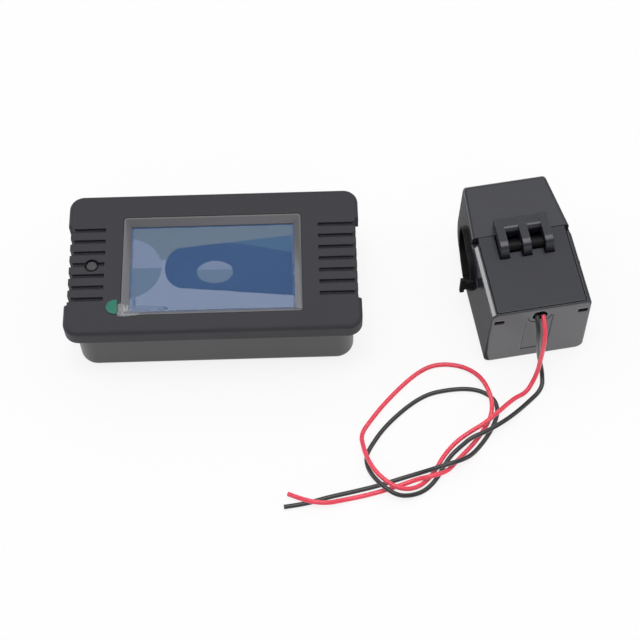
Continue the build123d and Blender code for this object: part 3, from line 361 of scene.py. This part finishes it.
def round_card(name, centre, radii, split, low_glow, high_glow, height):
    """An ellipse in two tones, one below a level line and one above it.
    Its half height is the second radius times the root of one minus the square of the place along."""
    along = np.sin(np.linspace(-np.pi / 2, np.pi / 2, 41))
    half_height = radii[1] * np.sqrt(1 - along**2)
    low, high = centre[1] - half_height, centre[1] + half_height
    middle = np.clip(split, low, high)
    reflection_card(name + "_low", centre[0] + radii[0] * along, low, middle, low_glow, height)
    reflection_card(name + "_high", centre[0] + radii[0] * along, middle, high, high_glow, height)


# %% The long dark shape, in mm on the screen
card_height = 450.0                     # mm above the table
card_step = 3.0                         # mm between cards, so that a lower one hides a higher one
arm_end, arm_reach = -14.9, 60.0        # from its rounded end to out of sight
arm_axis = -1.0
arm_half, arm_flare = 6.7, 0.107        # half its height at the end, and its growth for each mm
end_roundness = 5.0
sheen_start, sheen_fade = 4.0, 0.03     # where its pale band starts to thin, and by how much for each mm
arm_glow, sheen_glow = 0.02, (0.25, 0.42, 0.33)

# Half its height grows evenly from the end, and over the first 5 mm it is cut to a quarter of an ellipse.
# The places along it are spaced by squares, so that most of them lie in that rounded end.
arm_x = arm_end + (arm_reach - arm_end) * np.linspace(0, 1, 60)**2
rounding = np.sqrt(1 - (1 - np.clip((arm_x - arm_end) / end_roundness, 0, 1))**2)
arm_edge = (arm_half + arm_flare * (arm_x - arm_end)) * rounding
reflection_card("dark_arm", arm_x, arm_axis - arm_edge, arm_axis + arm_edge, arm_glow, card_height)
sheen_share = np.clip(1 - sheen_fade * (arm_x - sheen_start), 0, 1)
reflection_card("arm_sheen", arm_x, arm_axis + sheen_share * arm_edge, arm_axis + arm_edge, sheen_glow,
                card_height - card_step)
print("dark shape", round(2 * float(arm_edge.max()), 1), "mm tall at its widest")

# %% Its opening, the round lamp and the ceiling
grey_wall = (0.83, 0.93, 0.69)
opening_glow, lamp_glow = 1.42, 1.58
ceiling_glow, low_ceiling_glow = (0.97, 0.97, 0.42), 1.78
ceiling_line = 2.0        # mm on the screen, where the two tones of the ceiling meet
lowest, highest = card_height - 2 * card_step, card_height + 2 * card_step

round_card("arm_opening", (0.46, -2.8), (5.5, 4.0), -2.0, grey_wall, opening_glow, lowest)
round_card("side_lamp", (-26.5, -0.7), (10.6, 10.6), -0.8, grey_wall, lamp_glow, lowest)
level_card("dim_ceiling", -60.0, 60.0, ceiling_line, 60.0, ceiling_glow, highest)
level_card("low_ceiling", -30.0, 26.0, -19.0, ceiling_line, low_ceiling_glow, highest)
print("cards hang between", lowest, "and", highest, "mm")

# %% [markdown]
# ## What the edges mirror
# The rounded edges of the polished mouldings pick up thin bright lines from lamps far to the side, and the
# transformer's steep walls mirror the shaded table beside them. Cards stand in for both.

# %% Cards for edges and walls
# Each has two corners of one side and two of the other, in millimetres, and its glow.
side_cards = {
    "top_glow": (((-450, -450, 1200), (450, -450, 1200)), ((-450, 470, 1200), (450, 470, 1200)), 3.5),
    "left_glow": (((-1100, 200, 180), (-1100, 750, 180)), ((-1100, 200, 380), (-1100, 750, 380)), 10.0),
    "back_glow": (((-500, 950, 1050), (700, 950, 1050)), ((-500, 1350, 600), (700, 1350, 600)), 0.9),
    "right_glow": (((1100, 300, 60), (1100, 1100, 60)), ((1100, 300, 450), (1100, 1100, 450)), 2.0),
    "right_shade": (((116, -20, 0.3), (330, -20, 0.3)), ((116, 260, 0.3), (330, 260, 0.3)), 0.25)}
for name, (near, far, glow_here) in side_cards.items():
    glossy_card(name, [near, far], glow_here)


def floor_card(name, start, end, glow):
    """A strip of table left of the transformer and a little under it, from one distance behind its lead end
    to another."""
    sides = [[from_transformer(x, y, 0.3) for x in (-20, 1.5)] for y in (start, end)]
    glossy_card(name, sides, glow)


floor_card("base_shade", -6, 27, 0.25)
floor_card("cap_shade", 27, 70, 0.2)
print(len(side_cards) + 2, "cards for edges and walls")

# %% [markdown]
# ## Moulded plastics
# Every housing is injection moulded. The meter's bezel is ABS from a spark-eroded mould, which leaves a
# fine even grain, so it looks matt. The frame round the screen and the transformer come from polished
# moulds and are glossy. A moulding never has knife edges, so a bevel node rounds the light on each edge by
# a fraction of a millimetre. The real grain of the matt ones is about 0.1 mm across. It is drawn at two to
# four times that, because a finer one vanishes. The polished ones have a shallow unevenness of about a
# millimetre instead.

# %% One finish for all mouldings
patch_size = 18.0         # mm, the patches in which the gloss drifts
gloss_drift = 0.12        # of the roughness, up and down
tone_low, tone_high = 0.95, 1.05        # of the colour, from grain to grain


def moulded_plastic(name, colour, roughness, grain, grain_depth, edge_radius, specular=0.5):
    """Plastic with a grain of a given size and depth in mm, drifts of tone and gloss, and rounded edges.
    Each noise runs from 0 to 1 and is stretched to a range: of factors for the colour, and of roughness."""
    material, tree = empty_material(name)
    place = add_node(tree, "ShaderNodeTexCoord").outputs["Object"]
    grains = add_node(tree, "ShaderNodeTexNoise", values={"Scale": 1 / (grain * MM), "Detail": 2.0},
                      links={"Vector": place})
    patches = add_node(tree, "ShaderNodeTexNoise", values={"Scale": 1 / (patch_size * MM), "Detail": 3.0},
                       links={"Vector": place})
    gloss = add_node(tree, "ShaderNodeMapRange", links={"Value": patches.outputs[0]}, values={
        "To Min": roughness * (1 - gloss_drift), "To Max": roughness * (1 + gloss_drift)})
    tone = add_node(tree, "ShaderNodeMapRange", values={"To Min": tone_low, "To Max": tone_high},
                    links={"Value": grains.outputs[0]})
    shade = add_node(tree, "ShaderNodeVectorMath", operation="SCALE", values={0: linear(colour)[:3]},
                     links={"Scale": tone.outputs[0]})
    soft_edge = add_node(tree, "ShaderNodeBevel", samples=6, values={"Radius": edge_radius * MM})
    relief = add_node(tree, "ShaderNodeBump", values={"Distance": grain_depth * MM},
                      links={"Height": grains.outputs[0], "Normal": soft_edge.outputs[0]})
    surface = add_node(tree, "ShaderNodeBsdfPrincipled", values={"IOR": 1.53, "Specular IOR Level": specular},
                       links={"Base Color": shade.outputs[0], "Roughness": gloss.outputs[0],
                              "Normal": relief.outputs[0]})
    add_node(tree, "ShaderNodeOutputMaterial", links={"Surface": surface.outputs[0]})
    return material


def dress(material, *names):
    """Give CAD nodes a finish in place of the plain one that they came with."""
    for name in names:
        slots = nodes[name].data.materials
        slots.clear()
        slots.append(material)
    print(material.name, "on", ", ".join(names))


print("gloss of the mouldings drifts in patches of", patch_size, "mm")

# %% Mouldings of the meter that show
# Spark-eroded grain: an even dark grey, whatever stands around.
spark_abs = moulded_plastic("spark_textured_abs", "#37373C", 0.6, 0.4, 0.012, 0.25, specular=0.2)
dress(spark_abs, "front_bezel")
# A satin mould: the case is nearly black but takes on the table's white at a low angle.
satin_abs = moulded_plastic("satin_abs", "#202022", 0.42, 0.35, 0.006, 0.2, specular=0.43)
dress(satin_abs, "rear_case", "panel_clip_left", "panel_clip_right")
# A polished mould in a paler grey: each bevel of the frame mirrors another part of the room.
gloss_abs = moulded_plastic("polished_grey_abs", "#6D6D71", 0.16, 0.8, 0.002, 0.12)
dress(gloss_abs, "window_frame")
# A satin mould in a paler grey: the button stands out a little from the bezel.
button_abs = moulded_plastic("button_abs", "#424246", 0.4, 0.3, 0.006, 0.15, specular=0.3)
dress(button_abs, "button_cap")

# %% Mouldings inside the meter
# Plain white: it scatters the light behind the display evenly. The coil's former is the same.
white_abs = moulded_plastic("white_abs", "#D8D7D2", 0.45, 0.3, 0.005, 0.15)
dress(white_abs, "lcd_holder", "switch_plunger", "backlight_leds", "ct_bobbin")
# Glass fibres make nylon dull and faintly rough.
filled_nylon = moulded_plastic("glass_filled_nylon", "#1C1C1D", 0.5, 0.25, 0.015, 0.15)
dress(filled_nylon, "terminal_block", "tact_switch")
# Epoxy with mineral powder: dull black with hardly a highlight.
epoxy_mould = moulded_plastic("chip_epoxy", "#161617", 0.6, 0.2, 0.01, 0.08)
dress(epoxy_mould, "metering_chip", "controller_chip")
# A potted box: plain mid grey.
box_capacitor = moulded_plastic("capacitor_case", "#6E7074", 0.4, 0.3, 0.006, 0.2)
dress(box_capacitor, "mains_capacitor")
# A sleeve shrunk on by heat is smooth and tight, with a long highlight.
shrink_sleeve = moulded_plastic("shrink_sleeve", "#1B2130", 0.25, 1.2, 0.006, 0.3)
dress(shrink_sleeve, "smoothing_capacitor", "filter_capacitor")
# Dipped lacquer: glossy blue with a soft unevenness.
lacquer = moulded_plastic("resistor_lacquer", "#3D6E8C", 0.3, 0.5, 0.01, 0.3)
dress(lacquer, "fuse_resistor", "varistor")
# A clear acrylic plate with a pale paint behind it: the eye sees a glassy light grey.
light_guide = moulded_plastic("light_guide_acrylic", "#C9D2D2", 0.12, 0.6, 0.002, 0.1)
dress(light_guide, "lcd_diffuser")

# %% Mouldings of the transformer
# A polished mould: a bluish black that mirrors the lamps softly. The base's upper edges are rounder than
# the rest.
polished_abs = moulded_plastic("polished_black_abs", "#2B2C34", 0.2, 0.9, 0.0015, 0.25)
dress(polished_abs, "ct_base_lid", "ct_wire_clamp", "ct_latch_tongue", "ct_cap_shell")
rounder_abs = moulded_plastic("polished_black_abs_round", "#2B2C34", 0.18, 0.9, 0.0015, 0.7)
dress(rounder_abs, "ct_base_shell")
# Tough nylon, as hinges and sleeves need it: a deep black with little gloss. Partly painted shade: it is
# darker and duller than the shell, so that the lugs in the pockets between the hinge arms and the liners in
# the opening read as deep shade.
hinge_nylon_and_pocket_shade = moulded_plastic("hinge_nylon_and_pocket_shade", "#0E0E0F", 0.5, 0.3, 0.006, 0.15, specular=0.15)
dress(hinge_nylon_and_pocket_shade, "ct_hinge_lugs", "ct_base_liner", "ct_cap_liner")

# %% [markdown]
# ## The screen
# The display is a blue panel behind glass. With its light off it shows a deep, slightly milky blue, and
# the glass in front adds a sharp reflection, which is what a coat over the colour gives.
# Through the glass one just sees the rows of the display's cells, here a faint grid of half a millimetre.

# %% Display
cell = 0.5                # mm
line_share = 0.16         # of each cell, in which the line runs
line_shade = 0.05         # how much darker the line is
milk_patch = 9.0          # mm
milk_base, milk_drift = 0.93, 0.1       # least tone of the blue, and what the patches add

display_blue, tree = empty_material("display_blue")
place = add_node(tree, "ShaderNodeTexCoord").outputs["Object"]
cells = add_node(tree, "ShaderNodeVectorMath", operation="SCALE", values={"Scale": 1 / (cell * MM)},
                 links={0: place})
in_cell = add_node(tree, "ShaderNodeVectorMath", operation="FRACTION", links={0: cells.outputs[0]})
axes = add_node(tree, "ShaderNodeSeparateXYZ", links={0: in_cell.outputs[0]})
nearer_line = add_node(tree, "ShaderNodeMath", operation="MINIMUM",
                       links={0: axes.outputs["X"], 1: axes.outputs["Y"]})
line = add_node(tree, "ShaderNodeMath", operation="LESS_THAN", values={1: line_share},
                links={0: nearer_line.outputs[0]})
milk = add_node(tree, "ShaderNodeTexNoise", values={"Scale": 1 / (milk_patch * MM), "Detail": 2.0},
                links={"Vector": place})
tone = add_node(tree, "ShaderNodeMath", operation="MULTIPLY_ADD", values={1: milk_drift, 2: milk_base},
                links={0: milk.outputs[0]})
dimmed = add_node(tree, "ShaderNodeMath", operation="MULTIPLY_ADD", values={1: -line_shade},
                  links={0: line.outputs[0], 2: tone.outputs[0]})
blue = add_node(tree, "ShaderNodeVectorMath", operation="SCALE", values={0: linear("#456798")[:3]},
                links={"Scale": dimmed.outputs[0]})
surface = add_node(tree, "ShaderNodeBsdfPrincipled", links={"Base Color": blue.outputs[0]}, values={
    "Roughness": 0.6, "Specular IOR Level": 0.2, "Coat Weight": 1.0, "Coat Roughness": 0.0})
add_node(tree, "ShaderNodeOutputMaterial", links={"Surface": surface.outputs[0]})
dress(display_blue, "lcd_panel")

# %% [markdown]
# ## The protective film
# A thin clear film still covers the glass. It lies flat, but at its lower left corner, where the green pull
# tab is, it has let go: it climbs over the frame, and its lower edge waves. One sheet on a grid does this:
# its outline moves out near the corner, and its height follows the frame's slope there, never lower than
# the frame.

# %% Where the film lies and where it has let go
film_low, film_high = (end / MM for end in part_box("screen_film"))
frame_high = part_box("window_frame")[1] / MM
film_over = frame_high.x - film_high.x   # from the film's edge to the frame's outer edge
frame_lip = 0.45                         # mm from the glass up to the foot of the frame's bevel
slope_start, slope_run = 0.3, 1.8        # mm outside the film's edge where that bevel starts, and its run
film_gap, frame_gap = 0.04, 0.12         # mm that the film clears the glass and the frame by
loose_y, held_y = -13.5, -10.0           # mm: the left edge is loose below the first, held above the second
loose_x, held_x = -22.0, -12.0           # mm: the same for the lower edge, from left to right
spare_left, spare_low = 0.6, 0.1         # mm that the loose edges reach past the frame
edge_power = 6                           # the higher it is, the fewer rows move out
wave_height, wave_rate = 0.15, 1.1       # mm, and radians for each mm
film_thickness = 0.08                    # mm
print("film reaches", round(film_over, 2), "mm to the frame's edge")


def smooth_step(value, start, end):
    """0 before start, 1 after end, and 3 t squared less 2 t cubed between them."""
    share = np.clip((value - start) / (end - start), 0, 1)
    return share**2 * (3 - 2 * share)


def over_the_frame(past):
    """Height of the sheet at a distance past the glass: a smooth step to the frame's lip, then its slope."""
    lift_start = -1.6     # mm, still over the glass
    lip, rim = frame_lip + frame_gap, frame_high.z - film_low.z + frame_gap
    on_slope = np.clip((past - slope_start) / slope_run, 0, 1)
    return lip * smooth_step(past, lift_start, slope_start) + (rim - lip) * on_slope


# %% Shape of the film
# Each loose edge moves out by a high power of its nearness, so that only the last few rows stretch.
# The height is the greater of the two heights over the frame, one for each edge, where that edge is loose.
row, column = np.meshgrid(np.linspace(0, 1, 90), np.linspace(0, 1, 140), indexing="ij")
plain_x = film_low.x + column * (film_high.x - film_low.x)
plain_y = film_low.y + row * (film_high.y - film_low.y)
loose_left = 1 - smooth_step(plain_y, loose_y, held_y)
loose_low = 1 - smooth_step(plain_x, loose_x, held_x)
wave = wave_height * np.sin((plain_x - film_low.x) * wave_rate) * loose_low
film_x = plain_x - (1 - column)**edge_power * loose_left * (film_over + spare_left)
film_y = plain_y - (1 - row)**edge_power * loose_low * (film_over + spare_low + wave)
left_height = over_the_frame(film_low.x - film_x) * loose_left
low_height = over_the_frame(film_low.y - film_y) * loose_low
film_z = film_low.z + film_gap + np.maximum(left_height, low_height)
film = grid_piece("screen_film_sheet", np.stack([film_x, film_y, film_z], axis=-1))
wall = film.modifiers.new("thickness", "SOLIDIFY")
wall.thickness = film_thickness * MM
wall.offset = 1.0
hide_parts("screen_film")
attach(film, "base")
print("film climbs", round(float(film_z.max() - film_low.z), 2), "mm")

# %% Finish of the film: clear polyester, which lets light through and mirrors a little at each face
film_index = 1.5
film_wave, film_relief = 7.0, 0.002      # mm, width and depth of its unevenness
lifted_sheen_from, lifted_sheen_to = 0.3, 0.9          # mm above the glass where the painted sheen of the lifted film starts, and where it is full
lifted_sheen_most = 0.1                         # share of white diffuse where it has let go: painted sheen for the light that the lifted film throws back

clear_film, tree = empty_material("clear_film")
place = add_node(tree, "ShaderNodeTexCoord").outputs["Object"]
waviness = add_node(tree, "ShaderNodeTexNoise", values={"Scale": 1 / (film_wave * MM), "Detail": 1.0},
                    links={"Vector": place})
relief = add_node(tree, "ShaderNodeBump", values={"Distance": film_relief * MM},
                  links={"Height": waviness.outputs[0]})
inside = add_node(tree, "ShaderNodeNewGeometry").outputs["Backfacing"]
index = add_node(tree, "ShaderNodeMapRange", values={"To Min": film_index, "To Max": 1 / film_index},
                 links={"Value": inside})
mirror_share = add_node(tree, "ShaderNodeFresnel",
                        links={"IOR": index.outputs[0], "Normal": relief.outputs[0]})
through = add_node(tree, "ShaderNodeBsdfTransparent", values={"Color": linear("#FAFBFC")})
mirror = add_node(tree, "ShaderNodeBsdfGlossy", values={"Roughness": 0.0},
                  links={"Normal": relief.outputs[0]})
height = add_node(tree, "ShaderNodeSeparateXYZ", links={"Vector": place}).outputs["Z"]
lifted_sheen_share = add_node(tree, "ShaderNodeMapRange", links={"Value": height}, values={
    "From Min": (film_low.z + lifted_sheen_from) * MM, "From Max": (film_low.z + lifted_sheen_to) * MM,
    "To Min": 0.0, "To Max": lifted_sheen_most})
# A white diffuse share: painted sheen where the film stands off the glass.
milk = add_node(tree, "ShaderNodeBsdfDiffuse", values={"Color": (1, 1, 1, 1)})
body = add_node(tree, "ShaderNodeMixShader",
                links={0: lifted_sheen_share.outputs[0], 1: through.outputs[0], 2: milk.outputs[0]})
mixed = add_node(tree, "ShaderNodeMixShader",
                 links={0: mirror_share.outputs[0], 1: body.outputs[0], 2: mirror.outputs[0]})
add_node(tree, "ShaderNodeOutputMaterial", links={"Surface": mixed.outputs[0]})
film.data.materials.append(clear_film)
print("film mirrors", round(((film_index - 1) / (film_index + 1))**2, 3), "of the light square to a face")

# %% [markdown]
# ## Pull tab
# A piece of green film is stuck to the clear one, so that a finger can find its corner. It reaches over the
# bezel with a rounded end and curls up a little. A grid suits it as well: one way it runs from root to tip,
# and the other way it spans the width, which narrows as a half circle does.

# %% Shape of the tab, in millimetres
tab_low, tab_high = (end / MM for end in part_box("film_pull_tab"))
tab_middle = (tab_low.y + tab_high.y) / 2
tab_half = (tab_high.y - tab_low.y) / 2
tab_root, tab_end = -28.6, -31.95
tab_round = tab_end + tab_half          # centre of the rounded end
tip_gap = 0.02                          # short of the very tip, where all points of a row would meet
tab_lift, tab_curl, tab_sag = 0.05, 0.25, 0.05   # above its flat place, up at the tip, down at the sides
tab_thickness = 0.12

# A quarter of a sine wave crowds the rows towards the tip, where half the width is the root of a square less
# the square of the distance from the rounded end's centre. The curl grows with the square of the way out.
from_root, sideways = np.meshgrid(np.linspace(0, 1, 40), np.linspace(-1, 1, 24), indexing="ij")
tab_x = tab_root + (tab_end + tip_gap - tab_root) * np.sin(from_root * np.pi / 2)
half_here = tab_half * np.sqrt(1 - np.clip((tab_round - tab_x) / tab_half, 0, 1)**2)
tab_z = tab_high.z + tab_lift + tab_curl * from_root**2 - tab_sag * sideways**2
tab = grid_piece("pull_tab", np.stack([tab_x, tab_middle + sideways * half_here, tab_z], axis=-1))
wall = tab.modifiers.new("thickness", "SOLIDIFY")
wall.thickness = tab_thickness * MM
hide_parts("film_pull_tab")
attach(tab, "base")
print("tab", round(tab_root - tab_end, 2), "by", round(2 * tab_half, 2), "mm")

# %% Finish of the tab: dyed film, whose green is never quite even
mottle_size = 2.5         # mm
mottle_low, mottle_high = 0.9, 1.1      # of the colour

tab_green, tree = empty_material("green_tab_film")
place = add_node(tree, "ShaderNodeTexCoord").outputs["Object"]
mottle = add_node(tree, "ShaderNodeTexNoise", values={"Scale": 1 / (mottle_size * MM), "Detail": 2.0},
                  links={"Vector": place})
tone = add_node(tree, "ShaderNodeMapRange", values={"To Min": mottle_low, "To Max": mottle_high},
                links={"Value": mottle.outputs[0]})
green = add_node(tree, "ShaderNodeVectorMath", operation="SCALE", values={0: linear("#2A7765")[:3]},
                 links={"Scale": tone.outputs[0]})
surface = add_node(tree, "ShaderNodeBsdfPrincipled", values={"Roughness": 0.3, "Specular IOR Level": 0.3},
                   links={"Base Color": green.outputs[0]})
add_node(tree, "ShaderNodeOutputMaterial", links={"Surface": surface.outputs[0]})
tab.data.materials.append(tab_green)
print("tab's green varies from", mottle_low, "to", mottle_high)

# %% [markdown]
# ## Insulation of the leads
# Soft vinyl insulation is glossy but never quite smooth: extrusion leaves faint rings, and handling leaves
# dull spots. Two noises give that: a coarse one for the spots and the tone, and a fine one for the skin.

# %% Vinyl
spot_size, skin_size = 3.0, 0.6         # mm
skin_depth = 0.01                       # mm
gloss_below, gloss_above = 0.08, 0.12   # how far the roughness drifts down and up
vinyl_low, vinyl_high = 0.93, 1.07      # of the colour


def soft_vinyl(name, colour, roughness):
    """Extruded vinyl: gloss that drifts from spot to spot, and a slight unevenness of the skin.
    The coarse noise is stretched to a range of roughness and of tone, and the fine one lifts the skin."""
    material, tree = empty_material(name)
    place = add_node(tree, "ShaderNodeTexCoord").outputs["Object"]
    dull = add_node(tree, "ShaderNodeTexNoise", values={"Scale": 1 / (spot_size * MM), "Detail": 3.0},
                    links={"Vector": place})
    gloss = add_node(tree, "ShaderNodeMapRange", links={"Value": dull.outputs[0]},
                     values={"To Min": roughness - gloss_below, "To Max": roughness + gloss_above})
    tone = add_node(tree, "ShaderNodeMapRange", values={"To Min": vinyl_low, "To Max": vinyl_high},
                    links={"Value": dull.outputs[0]})
    shade = add_node(tree, "ShaderNodeVectorMath", operation="SCALE", values={0: linear(colour)[:3]},
                     links={"Scale": tone.outputs[0]})
    skin = add_node(tree, "ShaderNodeTexNoise", values={"Scale": 1 / (skin_size * MM), "Detail": 1.0},
                    links={"Vector": place})
    relief = add_node(tree, "ShaderNodeBump", values={"Distance": skin_depth * MM},
                      links={"Height": skin.outputs[0]})
    surface = add_node(tree, "ShaderNodeBsdfPrincipled", values={"IOR": 1.53},
                       links={"Base Color": shade.outputs[0], "Roughness": gloss.outputs[0],
                              "Normal": relief.outputs[0]})
    add_node(tree, "ShaderNodeOutputMaterial", links={"Surface": surface.outputs[0]})
    return material


# The red is as bright as a dye gets, and the black is a dark grey with a narrow highlight along the wire.
red_vinyl = soft_vinyl("red_vinyl", "#FF4861", 0.33)
black_vinyl = soft_vinyl("black_vinyl", "#2A2A2B", 0.28)
red_lead.data.materials.append(red_vinyl)
black_lead.data.materials.append(black_vinyl)
dress(black_vinyl, "ct_lead_tails")

# %% [markdown]
# ## Metals
# The screws and cages are zinc plated, the contacts and pins tinned, the core steel laminations and the
# coil enamelled copper. A metal has no colour of its own under its reflection: its base colour tints the
# mirror. Fine scratches all run one way, so the noise that roughens a metal is stretched along that way.

# %% One finish for all metals
metal_drift = 0.3         # of the roughness, down in the clean marks and up in the dull ones
mark_depth = 0.004        # mm
worn_edge = 0.1           # mm, radius of the light on an edge


def worked_metal(name, colour, roughness, stretch, spacing):
    """Metal with fine marks: noise squeezed to the spacing in mm across, and stretched along one way,
    where the place is first multiplied by a factor for each axis. A small factor makes long marks."""
    material, tree = empty_material(name)
    place = add_node(tree, "ShaderNodeTexCoord").outputs["Object"]
    along = add_node(tree, "ShaderNodeMapping", values={"Scale": stretch}, links={"Vector": place})
    marks = add_node(tree, "ShaderNodeTexNoise", values={"Scale": 1 / (spacing * MM), "Detail": 3.0},
                     links={"Vector": along.outputs[0]})
    gloss = add_node(tree, "ShaderNodeMapRange", links={"Value": marks.outputs[0]}, values={
        "To Min": roughness * (1 - metal_drift), "To Max": roughness * (1 + metal_drift)})
    soft_edge = add_node(tree, "ShaderNodeBevel", samples=4, values={"Radius": worn_edge * MM})
    relief = add_node(tree, "ShaderNodeBump", values={"Distance": mark_depth * MM},
                      links={"Height": marks.outputs[0], "Normal": soft_edge.outputs[0]})
    surface = add_node(tree, "ShaderNodeBsdfPrincipled",
                       values={"Base Color": linear(colour), "Metallic": 1.0},
                       links={"Roughness": gloss.outputs[0], "Normal": relief.outputs[0]})
    add_node(tree, "ShaderNodeOutputMaterial", links={"Surface": surface.outputs[0]})
    return material


print("roughness of the metals drifts by", metal_drift, "of itself")

# %% Metals
# Zinc plate: a soft pale grey with fine even speckles.
zinc_plate = worked_metal("zinc_plated_steel", "#BDBDB6", 0.32, (1, 1, 1), 0.4)
dress(zinc_plate, *[f"terminal_{kind}_{number}" for kind in ("screw", "cage") for number in range(1, 5)])
# Tin over brass, drawn through dies: a warm white with streaks along Y.
tinned_brass = worked_metal("tinned_brass", "#D9C792", 0.3, (1, 0.1, 1), 0.2)
dress(tinned_brass, "terminal_contacts", "lcd_pins")
# Blackened steel: dark grey, with streaks along the pin.
black_steel = worked_metal("blackened_steel", "#4A4A4C", 0.35, (0.1, 1, 1), 0.3)
dress(black_steel, "ct_hinge_pin")
# Stacked steel plates: one line for each plate.
lamination = 0.35         # mm, the thickness of one core plate
core_plate = worked_metal("core_laminations", "#8C8D90", 0.4, (1, 0.05, 0.05), lamination)
dress(core_plate, "ct_core_base", "ct_core_cap")
# Enamelled copper wire, wound in rows: an orange brown with a line for each turn.
winding_wire = 0.12       # mm, drawn four times as coarse so that it shows
coil_copper = worked_metal("enamelled_copper", "#C46A42", 0.25, (0.05, 0.05, 1), 4 * winding_wire)
dress(coil_copper, "ct_winding")

# %% [markdown]
# ## Circuit board
# The board is glass-filled epoxy under green lacquer, and copper tracks show through the lacquer as paler
# fields with darker gaps. The case hides it, so a plain brick pattern at four times the pitch of its holes
# is enough.

# %% Circuit board
track_pitch = 2.54        # mm
gap_share = 0.03          # width of the gaps between fields, as a share of a brick
board_edge = 0.1          # mm, radius of the light on an edge

board_green, tree = empty_material("solder_mask_green")
place = add_node(tree, "ShaderNodeTexCoord").outputs["Object"]
tracks = add_node(tree, "ShaderNodeTexBrick", values={
    "Color1": linear("#0F5A34"), "Color2": linear("#12633A"), "Mortar": linear("#0B4227"),
    "Scale": 1 / (4 * track_pitch * MM), "Mortar Size": gap_share}, links={"Vector": place})
soft_edge = add_node(tree, "ShaderNodeBevel", samples=4, values={"Radius": board_edge * MM})
surface = add_node(tree, "ShaderNodeBsdfPrincipled", values={"Roughness": 0.35},
                   links={"Base Color": tracks.outputs["Color"], "Normal": soft_edge.outputs[0]})
add_node(tree, "ShaderNodeOutputMaterial", links={"Surface": surface.outputs[0]})
dress(board_green, "main_board")

# %% [markdown]
# ## Finish
# The last cell brings the scene up to date.

# %% Finish
bpy.context.view_layer.update()
